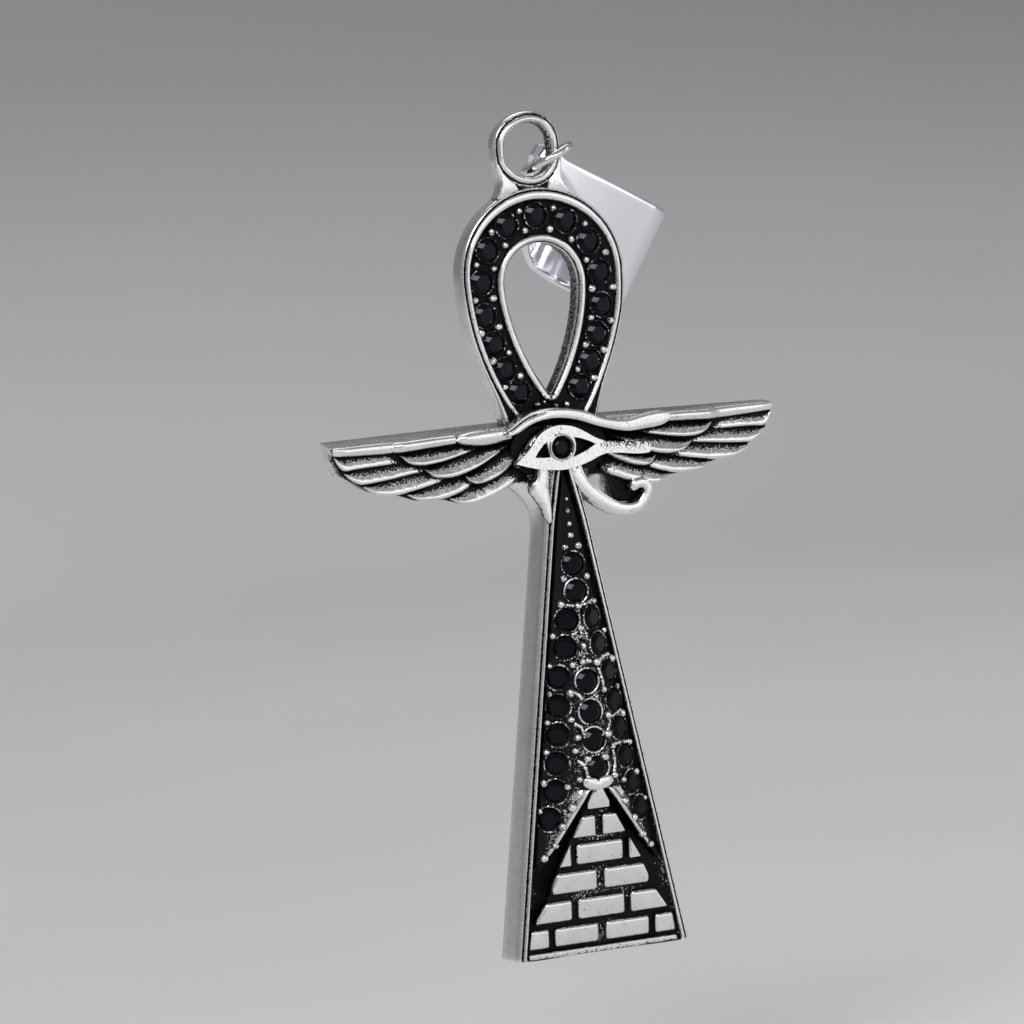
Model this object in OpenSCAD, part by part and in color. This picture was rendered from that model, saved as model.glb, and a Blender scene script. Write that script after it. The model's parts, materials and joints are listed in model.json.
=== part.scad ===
// Ankh pendant with a winged eye for its crossbar and a brick pyramid at the foot.
// Millimetres. Z is up, the front faces -Y, and the origin is the centre of the hanging eye.

/* [Ankh] */
// Centre of the hanging eye down to the point of the loop's hole
crossing_drop = 19.1; // [19:0.1:20]
// Point of the loop's hole down to the foot
post_drop = 43.1; // [42:0.1:45]
// Thickness of the loop
loop_depth = 1.9; // [1.8:0.05:2]
// Thickness of the top of the post
post_depth = 3.1; // [3:0.05:3.2]
// Thickness of the foot at its rims
foot_depth = 3.4; // [3.3:0.05:3.6]
// Thickness of the casting at the eye
relief_depth = 3.45; // [3.4:0.05:3.5]
// Width of the raised rims
rim_w = 0.75; // [0.6:0.05:0.9]
// Depth of the stone channels below the rims
channel_depth = 0.35; // [0.25:0.05:0.5]

/* [Loop] */
// Half width of the loop
loop_half_w = 6.75; // [6.5:0.05:7]
// Top of the loop above the point of its hole
loop_top = 15.9; // [15.7:0.1:16.1]
// Half width of the loop's hole
hole_half_w = 3.1; // [2.9:0.05:3.2]
// Top of the loop's hole above its point
hole_top = 11.6; // [11.4:0.1:11.8]

/* [Post] */
// Half width of the post just under the eye
neck_half_w = 1.86; // [1.8:0.01:1.95]
// Half width of the foot
foot_half_w = 7.4; // [7.2:0.1:7.6]
// Height of the pyramid on the foot
pyramid_h = 12.8; // [12.4:0.1:13]

/* [Wings] */
// Span of both wings
wing_span = 37.8; // [37.6:0.1:38]
// Thickness of the wings under their feathers
wing_depth = 1.85; // [1.8:0.05:1.9]

/* [Stones] */
// Diameter of the loop's stones
loop_stone_d = 1.85; // [1.7:0.05:1.9]
// Diameter of the post's stones
post_stone_d = 1.9; // [1.7:0.05:1.95]
// Diameter of the iris stone
iris_d = 1.7; // [1.5:0.05:1.75]
// Gap between a stone and its seat
seat_gap = 0.05; // [0.05:0.01:0.06]

/* [Hanging eye, jump ring and bail] */
// Outer width of the hanging eye
eye_outer_d = 5.26; // [5.2:0.02:5.4]
// Width of the hanging eye's hole
eye_inner_d = 3.4; // [3.3:0.02:3.4]
// Thickness of the hanging eye from front to back
eye_depth = 1.6; // [1.5:0.05:1.65]
// How much higher than wide the hanging eye is
eye_straight = 0.7; // [0.6:0.05:0.75]
// Wire of the jump ring
ring_wire_d = 0.62; // [0.6:0.01:0.65]
// Inner diameter of the jump ring
ring_inner_d = 3.35; // [3.3:0.05:3.4]
// Length of the bail from the jump ring to the far side of its fold
bail_length = 17.4; // [17:0.1:18]
// Outer radius of the bail's fold
bail_fold_r = 4.7; // [4.5:0.05:4.8]
// Width of the strip at the fold
bail_width = 7.9; // [7.6:0.1:8.1]
// Width of the strip at its pinched end
bail_tip_width = 1; // [0.9:0.05:1.05]
// Thickness of the strip
bail_wall = 0.65; // [0.6:0.05:0.7]
// Outer radius of the bail's rolled end
bail_roll_r = 1.2; // [1.15:0.01:1.25]
// Radius of the hole in the rolled end
bail_roll_hole_r = 0.9; // [0.88:0.01:0.92]

/* [Hidden] */
back_y = 1.1;
front_y = back_y - loop_depth;
post_top_front_y = back_y - post_depth;
foot_front_y = back_y - foot_depth;
wing_front_y = back_y - wing_depth;
eye_front_y = back_y - relief_depth;
eye_shift_x = -0.17;
heart_front_y = -1.35;
clip_y = -5;
foot_z = -post_drop;
neck_z = -9.6;
post_top_z = -3.4;
pyramid_top_z = foot_z + pyramid_h;
wing_half = wing_span / 2;
pyramid_apex_y = -3.4;
pyramid_lean = 6.5;
mortar = 0.6;
brick_pitch = 2.1;
brick_length = 4.35;
first_brick_z = 0.85;
cap_w = 1.7;
cap_h = 1.4;
foot_band_h = 0.5;
// Where the jump ring and the bail lie at rest: fallen back behind the loop's right shoulder
ring_centre = [1.9, 0.58, -1.15];
ring_turn = [2.0, -25.3, -23.1];
bail_centre = [2.54, 2.23, -1.12];
bail_turn = [21.6, 29.3, 47.8];
bail_throat_x = 1.75;
LOOP_COUNT = 15;
POST_COUNT = 22;

// Loop stones, one side from the top down: [x, z]. The first is the one at the top.
LOOP_STONES = [[0, 13.7], [2.5, 13.1], [4.3, 11.35], [5.0, 8.95],
               [4.95, 6.4], [4.4, 4.2], [3.65, 2.15], [2.6, 0.3]];

// Post stones: [z, x of the outer pair or 0 for none, 1 where one sits in the middle]
POST_ROWS = [[-13.1, 0, 1], [-15.2, 0, 1], [-17.3, 1.2, 0], [-19.4, 1.55, 0],
             [-21.65, 2.25, 0], [-22.1, 0, 1], [-23.85, 2.5, 0], [-24.45, 0, 1],
             [-26.0, 2.75, 0], [-26.6, 0, 1], [-28.2, 3.05, 0], [-28.75, 0, 1],
             [-30.3, 3.4, 0], [-32.35, 4.0, 0]];

// Pyramid outline: [half width, height above the foot]
PYRAMID = [[0, 12.8], [2.25, 9.25], [3.5, 7.1], [4.6, 4.6], [5.6, 3.0], [6.6, 1.9]];

// Wing plate, one side: [x, z]
WING_PLATE = [[0, -2.45], [wing_half, -2.5], [18.4, -3.4], [17.9, -4.6], [16.3, -5.7], [12.9, -6.6],
              [9.6, -7.1], [8.3, -7.6], [5.6, -7.2], [3.2, -6.4], [0, -6.4]];

// Feathers, one side: [root x, root z, tip x, tip z, half width, height above the wing plate]
FEATHERS = [[12.6, -3.65, 18.05, -3.5, 0.36, 0.2],
            [11.4, -4.6, 17.4, -4.65, 0.42, 0.3],
            [9.8, -5.3, 15.7, -5.6, 0.44, 0.4],
            [7.2, -5.7, 11.9, -6.4, 0.48, 0.55],
            [3.4, -4.9, 8.3, -7.0, 0.55, 0.7],
            [6.2, -3.5, 12.3, -3.95, 0.5, 0.6],
            [4.6, -3.9, 10.5, -4.9, 0.52, 0.75],
            [3.6, -4.2, 7.3, -5.85, 0.5, 0.9],
            [13.4, -2.95, wing_half - 0.4, -2.9, 0.4, 0.45],
            [8.0, -3.0, 13.6, -2.95, 0.44, 0.7],
            [4.0, -2.9, 8.3, -3.0, 0.5, 0.95]];

// Brow centre line: [x, z, half width]
BROW = [[-4.4, -3.2, 0.3], [-2.6, -2.1, 0.38], [0.2, -1.45, 0.38], [3.2, -2.0, 0.38],
        [5.9, -2.9, 0.42], [7.6, -2.9, 0.5], [9.0, -2.5, 0.5]];

// Curl centre line: [x, z, half width]
CURL = [[1.3, -5.7, 0.5], [2.0, -7.1, 0.45], [3.2, -8.4, 0.42], [4.9, -9.4, 0.4],
        [6.3, -9.2, 0.4], [7.0, -8.3, 0.4], [7.0, -7.2, 0.45]];

// Outline of the almond eye with its tail: [x, z]
ALMOND = [[-4.05, -5.1], [-2.9, -4.1], [-1.6, -3.1], [-0.2, -2.67], [1.4, -2.85], [3.2, -3.6],
          [5.2, -4.3], [7.65, -4.45], [7.5, -5.1], [5.2, -5.2], [3.4, -5.25], [1.6, -5.75],
          [-0.4, -5.95], [-2.4, -5.65]];

function stone_name(where, i) = str(where, "_stone_", i < 10 ? "0" : "", i);
function post_half_w(z) = neck_half_w + (z - neck_z) / (foot_z - neck_z) * (foot_half_w - neck_half_w);
function post_front_y(z) =
    post_top_front_y + (z - post_top_z) / (foot_z - post_top_z) * (foot_front_y - post_top_front_y);

// The stones' ground on the post is a roof with a flat crown. Its sides rise by this much for each mm inwards.
roof_slope = 0.49;
roof_foot = 0.35;
function panel_half_w(z) = post_half_w(z) - rim_w - 0.1;
function crown_half_w(z) = min(1, 0.6 * panel_half_w(z));
function panel_rise(x, z) = roof_slope * (panel_half_w(z) - max(abs(x), crown_half_w(z)));
function panel_tilt(x, z) = abs(x) <= crown_half_w(z) ? 0 : sign(x) * atan(roof_slope);

function mirrored(rows) = [for (r = rows) each r[0] == 0 ? [r] : [r, [-r[0], r[1]]]];
LOOP_PLACES = mirrored(LOOP_STONES);
POST_PLACES = [for (r = POST_ROWS) each r[2] == 1 ? [[0, r[0]]] : [[r[1], r[0]], [-r[1], r[0]]]];

// A flat shape drawn in X and Z, standing between two depths
module plate(front, back) {
    translate([0, back, 0]) rotate([90, 0, 0]) linear_extrude(back - front) children();
}

module both_sides() {
    children();
    mirror([1, 0, 0]) children();
}

module loop_outline() {
    $fn = 56;
    hull() {
        translate([0, loop_top - loop_half_w]) circle(loop_half_w);
        translate([0, 6.9]) circle(loop_half_w * 0.965);
        translate([0, 4.6]) circle(loop_half_w * 0.88);
        translate([0, 1.6]) circle(4.65);
        translate([0, -1.4]) circle(2.9);
    }
}

module hole_outline() {
    $fn = 40;
    hull() {
        translate([0, hole_top - hole_half_w]) circle(hole_half_w);
        translate([0, 6.9]) circle(hole_half_w * 0.93);
        translate([0, 5.2]) circle(hole_half_w * 0.79);
        translate([0, 2.6]) circle(1.4);
        translate([0, 0.15]) circle(0.15, $fn = 8);
    }
}

module channel_outline() {
    difference() {
        offset(delta = -rim_w) loop_outline();
        offset(delta = rim_w * 0.8) hole_outline();
        translate([-5, -6]) square([10, 5.2]);
    }
}

// A slab across the post at height z, between two depths
module post_slab(z, half_w, front, back) {
    translate([-half_w, front, z]) cube([2 * half_w, back - front, 0.01]);
}

module post_body() {
    hull() {
        post_slab(post_top_z, neck_half_w, post_top_front_y, back_y);
        post_slab(neck_z, neck_half_w, post_front_y(neck_z), back_y);
    }
    hull() {
        post_slab(neck_z, neck_half_w, post_front_y(neck_z), back_y);
        post_slab(foot_z, foot_half_w, foot_front_y, back_y);
    }
}

// The sunk field inside the post's rims, cut to a depth below the front
module post_field(top_z, bottom_z, sunk) {
    hull() {
        post_slab(top_z, panel_half_w(top_z), clip_y, post_front_y(top_z) + sunk);
        post_slab(bottom_z, panel_half_w(bottom_z), clip_y, post_front_y(bottom_z) + sunk);
    }
}

// One level of the stones' ground: its foot is as wide as the field and its crown is narrower.
module ground_level(z) {
    base = post_front_y(z) + roof_foot;
    rise = panel_rise(0, z);
    post_slab(z, panel_half_w(z) - 0.12, base - 0.02, base + 1);
    post_slab(z, crown_half_w(z), base - rise, base);
}

module post_ground() {
    hull() {
        ground_level(neck_z - 0.3);
        ground_level(-16);
    }
    difference() {
        hull() {
            ground_level(-16);
            ground_level(pyramid_top_z - 5.2);
        }
        plate(clip_y, back_y) offset(delta = 0.75) pyramid_outline();
    }
}

module pyramid_outline() {
    polygon(concat([for (p = PYRAMID) [p[0], foot_z + p[1]]],
                   [[foot_half_w - 0.3, foot_z], [-foot_half_w + 0.3, foot_z]],
                   [for (i = [len(PYRAMID) - 1:-1:1]) [-PYRAMID[i][0], foot_z + PYRAMID[i][1]]]));
}

// Five rows of bricks, the joints of every second row in the middle, a cap on top and a plain band below
module brick_rows() {
    for (row = [0:4]) {
        z = foot_z + first_brick_z + row * brick_pitch;
        shift = row % 2 == 0 ? 0 : 0.5;
        for (i = [-3:2]) {
            translate([(i + shift) * brick_length + mortar / 2, z])
                square([brick_length - mortar, brick_pitch - mortar]);
        }
    }
    translate([-cap_w / 2, foot_z + first_brick_z + 5 * brick_pitch]) square([cap_w, cap_h]);
    translate([-foot_half_w, foot_z]) square([2 * foot_half_w, foot_band_h]);
}

// The pyramid's face leans: its apex stands as proud as the stones and its foot is nearly level with the rims.
module pyramid() {
    translate([0, pyramid_apex_y, pyramid_top_z]) rotate([pyramid_lean, 0, 0]) translate([0, 0, -pyramid_top_z]) {
        plate(0.4, 3) pyramid_outline();
        plate(0, 0.6) intersection() {
            offset(delta = -0.12) pyramid_outline();
            brick_rows();
        }
    }
}

// What the pyramid may fill: the post between its sides, and as far forward as need be
module post_room() {
    hull() {
        post_slab(neck_z, neck_half_w - 0.3, clip_y, back_y);
        post_slab(foot_z, foot_half_w - 0.3, clip_y, back_y);
    }
}

// The wall of the hanging eye, cut across: X from its middle line, Y front to back
module eye_section() {
    wall = (eye_outer_d - eye_inner_d) / 2;
    chamfer = 0.22;
    polygon([[-wall / 2, -eye_depth / 2 + chamfer], [-wall / 2 + chamfer, -eye_depth / 2],
             [wall / 2 - chamfer, -eye_depth / 2], [wall / 2, -eye_depth / 2 + chamfer],
             [wall / 2, eye_depth / 2 - chamfer], [wall / 2 - chamfer, eye_depth / 2],
             [-wall / 2 + chamfer, eye_depth / 2], [-wall / 2, eye_depth / 2 - chamfer]]);
}

module eye_half() {
    rotate([90, 0, 0]) rotate_extrude(angle = 180, $fn = 40)
        translate([(eye_outer_d + eye_inner_d) / 4, 0]) eye_section();
}

module hanging_eye() {
    eye_half();
    translate([0, 0, -eye_straight]) {
        mirror([0, 0, 1]) eye_half();
        both_sides() translate([(eye_outer_d + eye_inner_d) / 4, 0, 0]) linear_extrude(eye_straight) eye_section();
    }
}

// The neck that joins the hanging eye to the top of the loop
module eye_neck() {
    loop_z = loop_top - crossing_drop;
    plate(-eye_depth / 2 + 0.1, eye_depth / 2 - 0.1) difference() {
        translate([-2.1, loop_z - 0.5]) square([4.2, 1.5]);
        translate([0, -eye_straight]) circle(d = eye_inner_d + 0.5, $fn = 36);
        both_sides() translate([2.95, -2.45]) circle(0.9, $fn = 16);
    }
}

// Half width across, tapering to a rounded tip, drawn as a chain of discs
module stroke(rows) {
    for (i = [0:len(rows) - 2]) {
        hull() {
            translate([rows[i][0], rows[i][1]]) circle(rows[i][2], $fn = 12);
            translate([rows[i + 1][0], rows[i + 1][1]]) circle(rows[i + 1][2], $fn = 12);
        }
    }
}

module feather(row) {
    root = [row[0], row[1]];
    tip = [row[2], row[3]];
    front = wing_front_y - row[5];
    hull() {
        translate([tip[0], 0, tip[1]]) feather_disc(row[4], front, 0.12);
        translate([tip[0] * 0.45 + root[0] * 0.55, 0, tip[1] * 0.45 + root[1] * 0.55])
            feather_disc(row[4] * 1.15, front, 0.12);
        translate([root[0], 0, root[1]]) feather_disc(row[4] * 0.7, front + 0.25, 0.12);
    }
}

module feather_disc(r, front, round_edge) {
    plate(front, front + 0.01) circle(r - round_edge, $fn = 10);
    plate(front + round_edge, wing_front_y + 0.3) circle(r, $fn = 10);
}

module wing() {
    plate(wing_front_y, back_y) polygon(WING_PLATE);
    for (row = FEATHERS) {
        feather(row);
    }
}

module almond() {
    plate(eye_front_y, eye_front_y + 1.6) difference() {
        polygon(ALMOND);
        polygon([[-2.4, -4.95], [-1.25, -3.75], [-1.05, -4.9]]);
        polygon([[1.15, -3.3], [3.1, -4.15], [1.15, -4.95]]);
    }
}

module eye_relief_parts() {
    translate([eye_shift_x, 0, 0]) {
        almond();
        plate(eye_front_y + 0.1, wing_front_y + 0.3) stroke(BROW);
    }
    plate(eye_front_y + 0.45, front_y + 0.6) stroke(CURL);
    plate(eye_front_y + 0.25, heart_front_y + 0.3) hull() {
        translate([-2.1, -5.9]) circle(0.5, $fn = 12);
        translate([-2.55, -7.1]) circle(0.65, $fn = 12);
        translate([-1.8, -9.3]) circle(0.12, $fn = 8);
    }
}

// The solid heart behind the eye, where loop, wings and post meet
module crossing() {
    plate(heart_front_y, back_y) hull() {
        translate([-3.4, -4.1]) circle(1.9, $fn = 24);
        translate([3.4, -4.1]) circle(1.9, $fn = 24);
    }
}

// A round stone: a flat table, eight crown facets, a girdle and a pavilion, with its table at depth 0
module stone_cut(d, gap = 0) {
    r = d / 2 + gap;
    crown = 0.3;
    girdle = 0.1;
    rotate([90, 0, 0]) hull() {
        translate([0, 0, gap]) rotate(22.5) linear_extrude(0.001) circle(r * 0.6, $fn = 8);
        translate([0, 0, -crown - girdle]) linear_extrude(girdle) circle(r, $fn = 16);
        translate([0, 0, -crown - girdle - r * 0.75]) linear_extrude(0.001) circle(0.05, $fn = 8);
    }
}

// The hole a stone drops into: as wide as the stone, open to the front
module seat(d) {
    r = d / 2 + seat_gap;
    rotate([90, 0, 0]) {
        translate([0, 0, -0.5]) cylinder(h = 1.3, r = r, $fn = 14);
        translate([0, 0, -0.5 - r * 0.8]) cylinder(h = r * 0.8 + 0.1, r1 = 0.1, r2 = r, $fn = 14);
    }
}

module at_loop_place(i) {
    translate([LOOP_PLACES[i][0], front_y - 0.02, LOOP_PLACES[i][1]]) children();
}

module at_post_place(i) {
    x = POST_PLACES[i][0];
    z = POST_PLACES[i][1];
    ground = post_front_y(z) + roof_foot - panel_rise(x, z);
    translate([x, ground - 0.28, z]) rotate([0, 0, panel_tilt(x, z)]) children();
}

module at_iris() {
    translate([eye_shift_x, eye_front_y + 0.15, -4.1]) children();
}

module loop_seats() {
    for (i = [0:LOOP_COUNT - 1]) {
        at_loop_place(i) seat(loop_stone_d);
    }
}

module post_seats() {
    for (i = [0:POST_COUNT - 1]) {
        at_post_place(i) seat(post_stone_d);
    }
}

module ankh_frame() {
    difference() {
        union() {
            difference() {
                union() {
                    plate(front_y, back_y) loop_outline();
                    post_body();
                    crossing();
                }
                plate(clip_y, back_y + 5) hole_outline();
                plate(front_y - 1, front_y + channel_depth) channel_outline();
                post_field(neck_z - 0.3, foot_z + 0.9, roof_foot + 0.6);
            }
            post_ground();
            intersection() {
                pyramid();
                post_room();
            }
        }
        loop_seats();
        post_seats();
    }
}

// The frame with the wings and the eye's relief on it, clear of the loop's hole
module ankh_body() {
    ankh_frame();
    difference() {
        union() {
            both_sides() wing();
            eye_relief_parts();
        }
        plate(clip_y, back_y + 5) hole_outline();
    }
}

module ankh_casting() {
    color("#9d9b99") {
        hanging_eye();
        eye_neck();
        translate([0, 0, -crossing_drop]) difference() {
            ankh_body();
            at_iris() seat(iris_d);
        }
    }
}

module black_stone(d) {
    color("#101114") stone_cut(d);
}

// The jump ring lies tilted, with the hanging eye's side and the bail's rolled end through it.
module jump_ring() {
    color("#c9c9c8") translate(ring_centre) rotate(ring_turn) rotate_extrude($fn = 48)
        translate([(ring_inner_d + ring_wire_d) / 2, 0]) circle(d = ring_wire_d, $fn = 20);
}

// The outside or inside of the bail's teardrop, seen along the chain's way. Its rolled end is at 0,0.
module bail_profile(wall_in) {
    $fn = 56;
    hull() {
        circle(bail_roll_r - wall_in);
        translate([bail_length - bail_fold_r, 0]) circle(bail_fold_r - wall_in);
    }
}

// The strip's width seen from its flat side, narrow at the rolled end and wide at the fold
module bail_width_outline() {
    polygon([[-bail_roll_r - 0.1, -bail_tip_width / 2], [0.6, -bail_tip_width / 2],
             [bail_length * 0.82, -bail_width / 2], [bail_length + 0.1, -bail_width / 2],
             [bail_length + 0.1, bail_width / 2], [bail_length * 0.82, bail_width / 2],
             [0.6, bail_tip_width / 2], [-bail_roll_r - 0.1, bail_tip_width / 2]]);
}

// Built along its own X, with the chain's way along its own Z
module bail() {
    color("#c9c9cb") translate(bail_centre) rotate(bail_turn) intersection() {
        translate([0, 0, -bail_width / 2]) linear_extrude(bail_width) difference() {
            bail_profile(0);
            difference() {
                bail_profile(bail_wall);
                translate([-bail_roll_r, -bail_roll_r]) square([bail_throat_x + bail_roll_r, 2 * bail_roll_r]);
            }
            circle(bail_roll_hole_r, $fn = 16);
        }
        translate([0, bail_fold_r + 1, 0]) rotate([90, 0, 0]) linear_extrude(2 * bail_fold_r + 2)
            bail_width_outline();
    }
}

ankh_casting();
for (i = [0:LOOP_COUNT - 1]) {
    translate([0, 0, -crossing_drop]) at_loop_place(i) black_stone(loop_stone_d);
}
for (i = [0:POST_COUNT - 1]) {
    translate([0, 0, -crossing_drop]) at_post_place(i) black_stone(post_stone_d);
}
translate([0, 0, -crossing_drop]) at_iris() black_stone(iris_d);  // iris_stone
jump_ring();
bail();
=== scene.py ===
# %% [markdown]
# # A winged ankh in blackened and polished steel
# The real pendant is one steel casting, blackened all over and then polished, so the black stays only in the low
# places. Thirty-eight jet black stones sit in it, and a jump ring and a folded bail hang from its eye. The packed
# parts give every size and place, in metres, so the script first loads them and keeps their box.

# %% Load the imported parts
import json
import random
from math import asin, atan, atan2, copysign, cos, pi, radians, sin, sqrt

import bmesh
import bpy
import numpy as np
from mathutils import Euler, Matrix, Vector
from mathutils.bvhtree import BVHTree

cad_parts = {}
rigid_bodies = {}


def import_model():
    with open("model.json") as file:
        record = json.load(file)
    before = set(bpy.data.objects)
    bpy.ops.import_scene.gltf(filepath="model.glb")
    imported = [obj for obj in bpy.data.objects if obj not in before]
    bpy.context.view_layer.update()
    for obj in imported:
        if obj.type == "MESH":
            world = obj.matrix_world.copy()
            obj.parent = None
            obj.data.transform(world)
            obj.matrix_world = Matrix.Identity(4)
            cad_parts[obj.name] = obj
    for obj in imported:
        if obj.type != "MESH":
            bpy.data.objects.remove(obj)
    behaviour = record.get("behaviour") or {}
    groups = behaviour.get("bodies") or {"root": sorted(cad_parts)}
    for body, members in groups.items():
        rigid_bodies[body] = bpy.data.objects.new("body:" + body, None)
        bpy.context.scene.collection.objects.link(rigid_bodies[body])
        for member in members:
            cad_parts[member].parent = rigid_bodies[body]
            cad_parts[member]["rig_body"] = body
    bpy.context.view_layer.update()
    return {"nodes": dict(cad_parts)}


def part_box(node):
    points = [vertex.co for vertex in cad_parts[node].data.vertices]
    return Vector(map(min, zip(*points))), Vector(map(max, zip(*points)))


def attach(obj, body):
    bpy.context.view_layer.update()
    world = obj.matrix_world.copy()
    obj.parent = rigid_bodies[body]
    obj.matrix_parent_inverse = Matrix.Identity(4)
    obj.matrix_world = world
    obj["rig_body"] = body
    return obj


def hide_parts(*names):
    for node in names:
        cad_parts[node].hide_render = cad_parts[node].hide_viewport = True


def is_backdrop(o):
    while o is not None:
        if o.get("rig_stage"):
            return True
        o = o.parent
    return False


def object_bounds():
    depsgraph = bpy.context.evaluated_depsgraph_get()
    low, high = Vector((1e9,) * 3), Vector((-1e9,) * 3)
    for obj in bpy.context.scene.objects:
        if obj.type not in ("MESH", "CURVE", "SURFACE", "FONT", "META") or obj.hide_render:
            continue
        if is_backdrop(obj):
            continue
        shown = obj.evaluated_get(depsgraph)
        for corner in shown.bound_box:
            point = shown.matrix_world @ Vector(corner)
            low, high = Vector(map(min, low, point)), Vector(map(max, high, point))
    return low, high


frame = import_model()
MM = 0.001

# %% [markdown]
# ## Where the camera stands
# A small jewel is photographed from half a metre away with a long lens, so its lines stay almost parallel. The
# camera looks from the left and a little above, and leans. A matrix of the view's three directions places it.

# %% Camera
AZIMUTH = radians(-25)
ELEVATION = radians(4)
LEAN = radians(4.72)
DISTANCE = 0.5
FRAME_HEIGHT = 0.0783
SENSOR = 36
CLIP_START = 0.01
TARGET = Vector((-4.16, -0.8, -27.8)) * MM


def add_object(name, data):
    """Puts data into the scene as an object."""
    obj = bpy.data.objects.new(name, data)
    bpy.context.scene.collection.objects.link(obj)
    return obj


toward = Vector((sin(AZIMUTH) * cos(ELEVATION), -cos(AZIMUTH) * cos(ELEVATION), sin(ELEVATION)))
level = Vector((cos(AZIMUTH), sin(AZIMUTH), 0))
above = toward.cross(level)
right = level * cos(LEAN) - above * sin(LEAN)
upward = toward.cross(right)
camera_data = bpy.data.cameras.new("camera")
camera_data.sensor_width = SENSOR
camera_data.lens = SENSOR * DISTANCE / FRAME_HEIGHT
camera_data.clip_start = CLIP_START
camera = add_object("camera", camera_data)
axes = Matrix((right, upward, toward)).transposed().to_4x4()
camera.matrix_world = Matrix.Translation(TARGET + toward * DISTANCE) @ axes
bpy.context.scene.camera = camera
print("lens in mm:", round(camera_data.lens))

# %% [markdown]
# ## Sizes that the pieces share
# Heights are measured from the point of the loop's hole, a fixed drop below the centre of the hanging eye. Shapes
# are drawn in millimetres, which are easier to read, and scaled to metres when a piece is finished.

# %% Shared sizes in millimetres
CROSSING_DROP = 19.1
FRONT = -0.8
BACK = 1.1
POST_FRONT = -2.0
POST_TOP_Z = -3.4
FOOT_FRONT = -2.3
FOOT_Z = -43.1
NECK_Z = -9.6
NECK_HALF = 1.86
NECK_TAPER = 0.22
FOOT_HALF = 7.4
WING_FRONT = -0.75
WING_HALF = 18.85
RELIEF_FRONT = -2.35
HEART_FRONT = -1.35
APEX_Z = -30.3
APEX_FRONT = -3.4
random.seed(7)


def unit(value):
    """The value held between 0 and 1."""
    return min(1, max(0, value))


def mix(a, b, t):
    """The value a part t of the way from a to b."""
    return a + (b - a) * t


def post_half(z):
    """Half width of the post at height z; above the neck its rims come together."""
    if z > NECK_Z:
        return NECK_HALF - NECK_TAPER * (z - NECK_Z)
    return NECK_HALF + (z - NECK_Z) / (FOOT_Z - NECK_Z) * (FOOT_HALF - NECK_HALF)


def post_front(z):
    """Depth of the post's front at height z: it leans forward towards the foot."""
    return POST_FRONT + (z - POST_TOP_Z) / (FOOT_Z - POST_TOP_Z) * (FOOT_FRONT - POST_FRONT)


# %% [markdown]
# ## Growing a surface from a chain of points
# Most of the casting is a section pushed along an outline. A chain of vertices is drawn once and extruded row by
# row, and each new row is moved to its place. Every vertex carries a number called bare: 1 where polishing laid
# the steel bare, 0 where the black stayed. The finish reads it later.

# %% Chains, rows and lofts
def new_mesh():
    """An empty bmesh with the bare number on its vertices."""
    bm = bmesh.new()
    bm.verts.layers.float.new("bare")
    return bm


def links(chain, closed):
    """Pairs of neighbours along a chain."""
    return list(zip(chain, chain[1:] + chain[:1])) if closed else list(zip(chain, chain[1:]))


def verts_in(geom):
    """The vertices among what an operator made."""
    return [g for g in geom if isinstance(g, bmesh.types.BMVert)]


def paint(bm, rule):
    """Gives every vertex the bare number that a rule makes of its place. None leaves it as it is."""
    bare = bm.verts.layers.float["bare"]
    for vert in bm.verts:
        value = rule(*vert.co)
        if value is not None:
            vert[bare] = value


def grow(bm, chain, points, closed):
    """Extrudes the chain's edges and moves the new vertices to the given points."""
    edges = [bm.edges.get(pair) for pair in links(chain, closed)]
    grown = bmesh.ops.extrude_edge_only(bm, edges=edges)["geom"]
    old = set(chain)
    partner = {}
    for vert in verts_in(grown):
        for edge in vert.link_edges:
            if edge.other_vert(vert) in old:
                partner[edge.other_vert(vert)] = vert
    fresh = [partner[vert] for vert in chain]
    for vert, point in zip(fresh, points):
        vert.co = point
    return fresh


def loft(bm, rows, closed=True, cap=True):
    """Builds a surface through rows of (x, y, z, bare). Closed rows are rings; caps fill the two ends."""
    bare = bm.verts.layers.float["bare"]
    chain = [bm.verts.new(p[:3]) for p in rows[0]]
    for pair in links(chain, closed):
        bm.edges.new(pair)
    first = chain
    for vert, p in zip(chain, rows[0]):
        vert[bare] = p[3]
    for row in rows[1:]:
        chain = grow(bm, chain, [p[:3] for p in row], closed)
        for vert, p in zip(chain, row):
            vert[bare] = p[3]
    if closed and cap:
        for ring in (first, chain):
            bmesh.ops.contextual_create(bm, geom=[bm.edges.get(pair) for pair in links(ring, True)])


def spline(points, steps=6):
    """Rounds a list of tuples into a smooth run through all of them."""
    pts = [2 * np.array(points[0]) - points[1], *np.array(points), 2 * np.array(points[-1]) - points[-2]]
    run = []
    for a, b, c, d in zip(pts, pts[1:], pts[2:], pts[3:]):
        for t in (k / steps for k in range(steps)):
            bend = (2 * a - 5 * b + 4 * c - d) * t * t + (3 * b - a - 3 * c + d) * t ** 3
            run.append(tuple(0.5 * (2 * b + (c - a) * t + bend)))
    return run + [tuple(points[-1])]


# %% [markdown]
# ## Finishing a piece
# Each piece ends the same way: doubles are merged, normals are turned outwards, and the object is put on the body
# that it moves with. Edges sharper than a set angle stay crisp, and a subdivision modifier rounds the rest.

# %% Finishing helper
MERGE_DISTANCE = 0.002
finished = {}


def mesh_object(name, bm):
    """Turns a bmesh into an object with smooth faces."""
    mesh = bpy.data.meshes.new(name)
    bm.to_mesh(mesh)
    bm.free()
    mesh.shade_smooth()
    return add_object(name, mesh)


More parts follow.
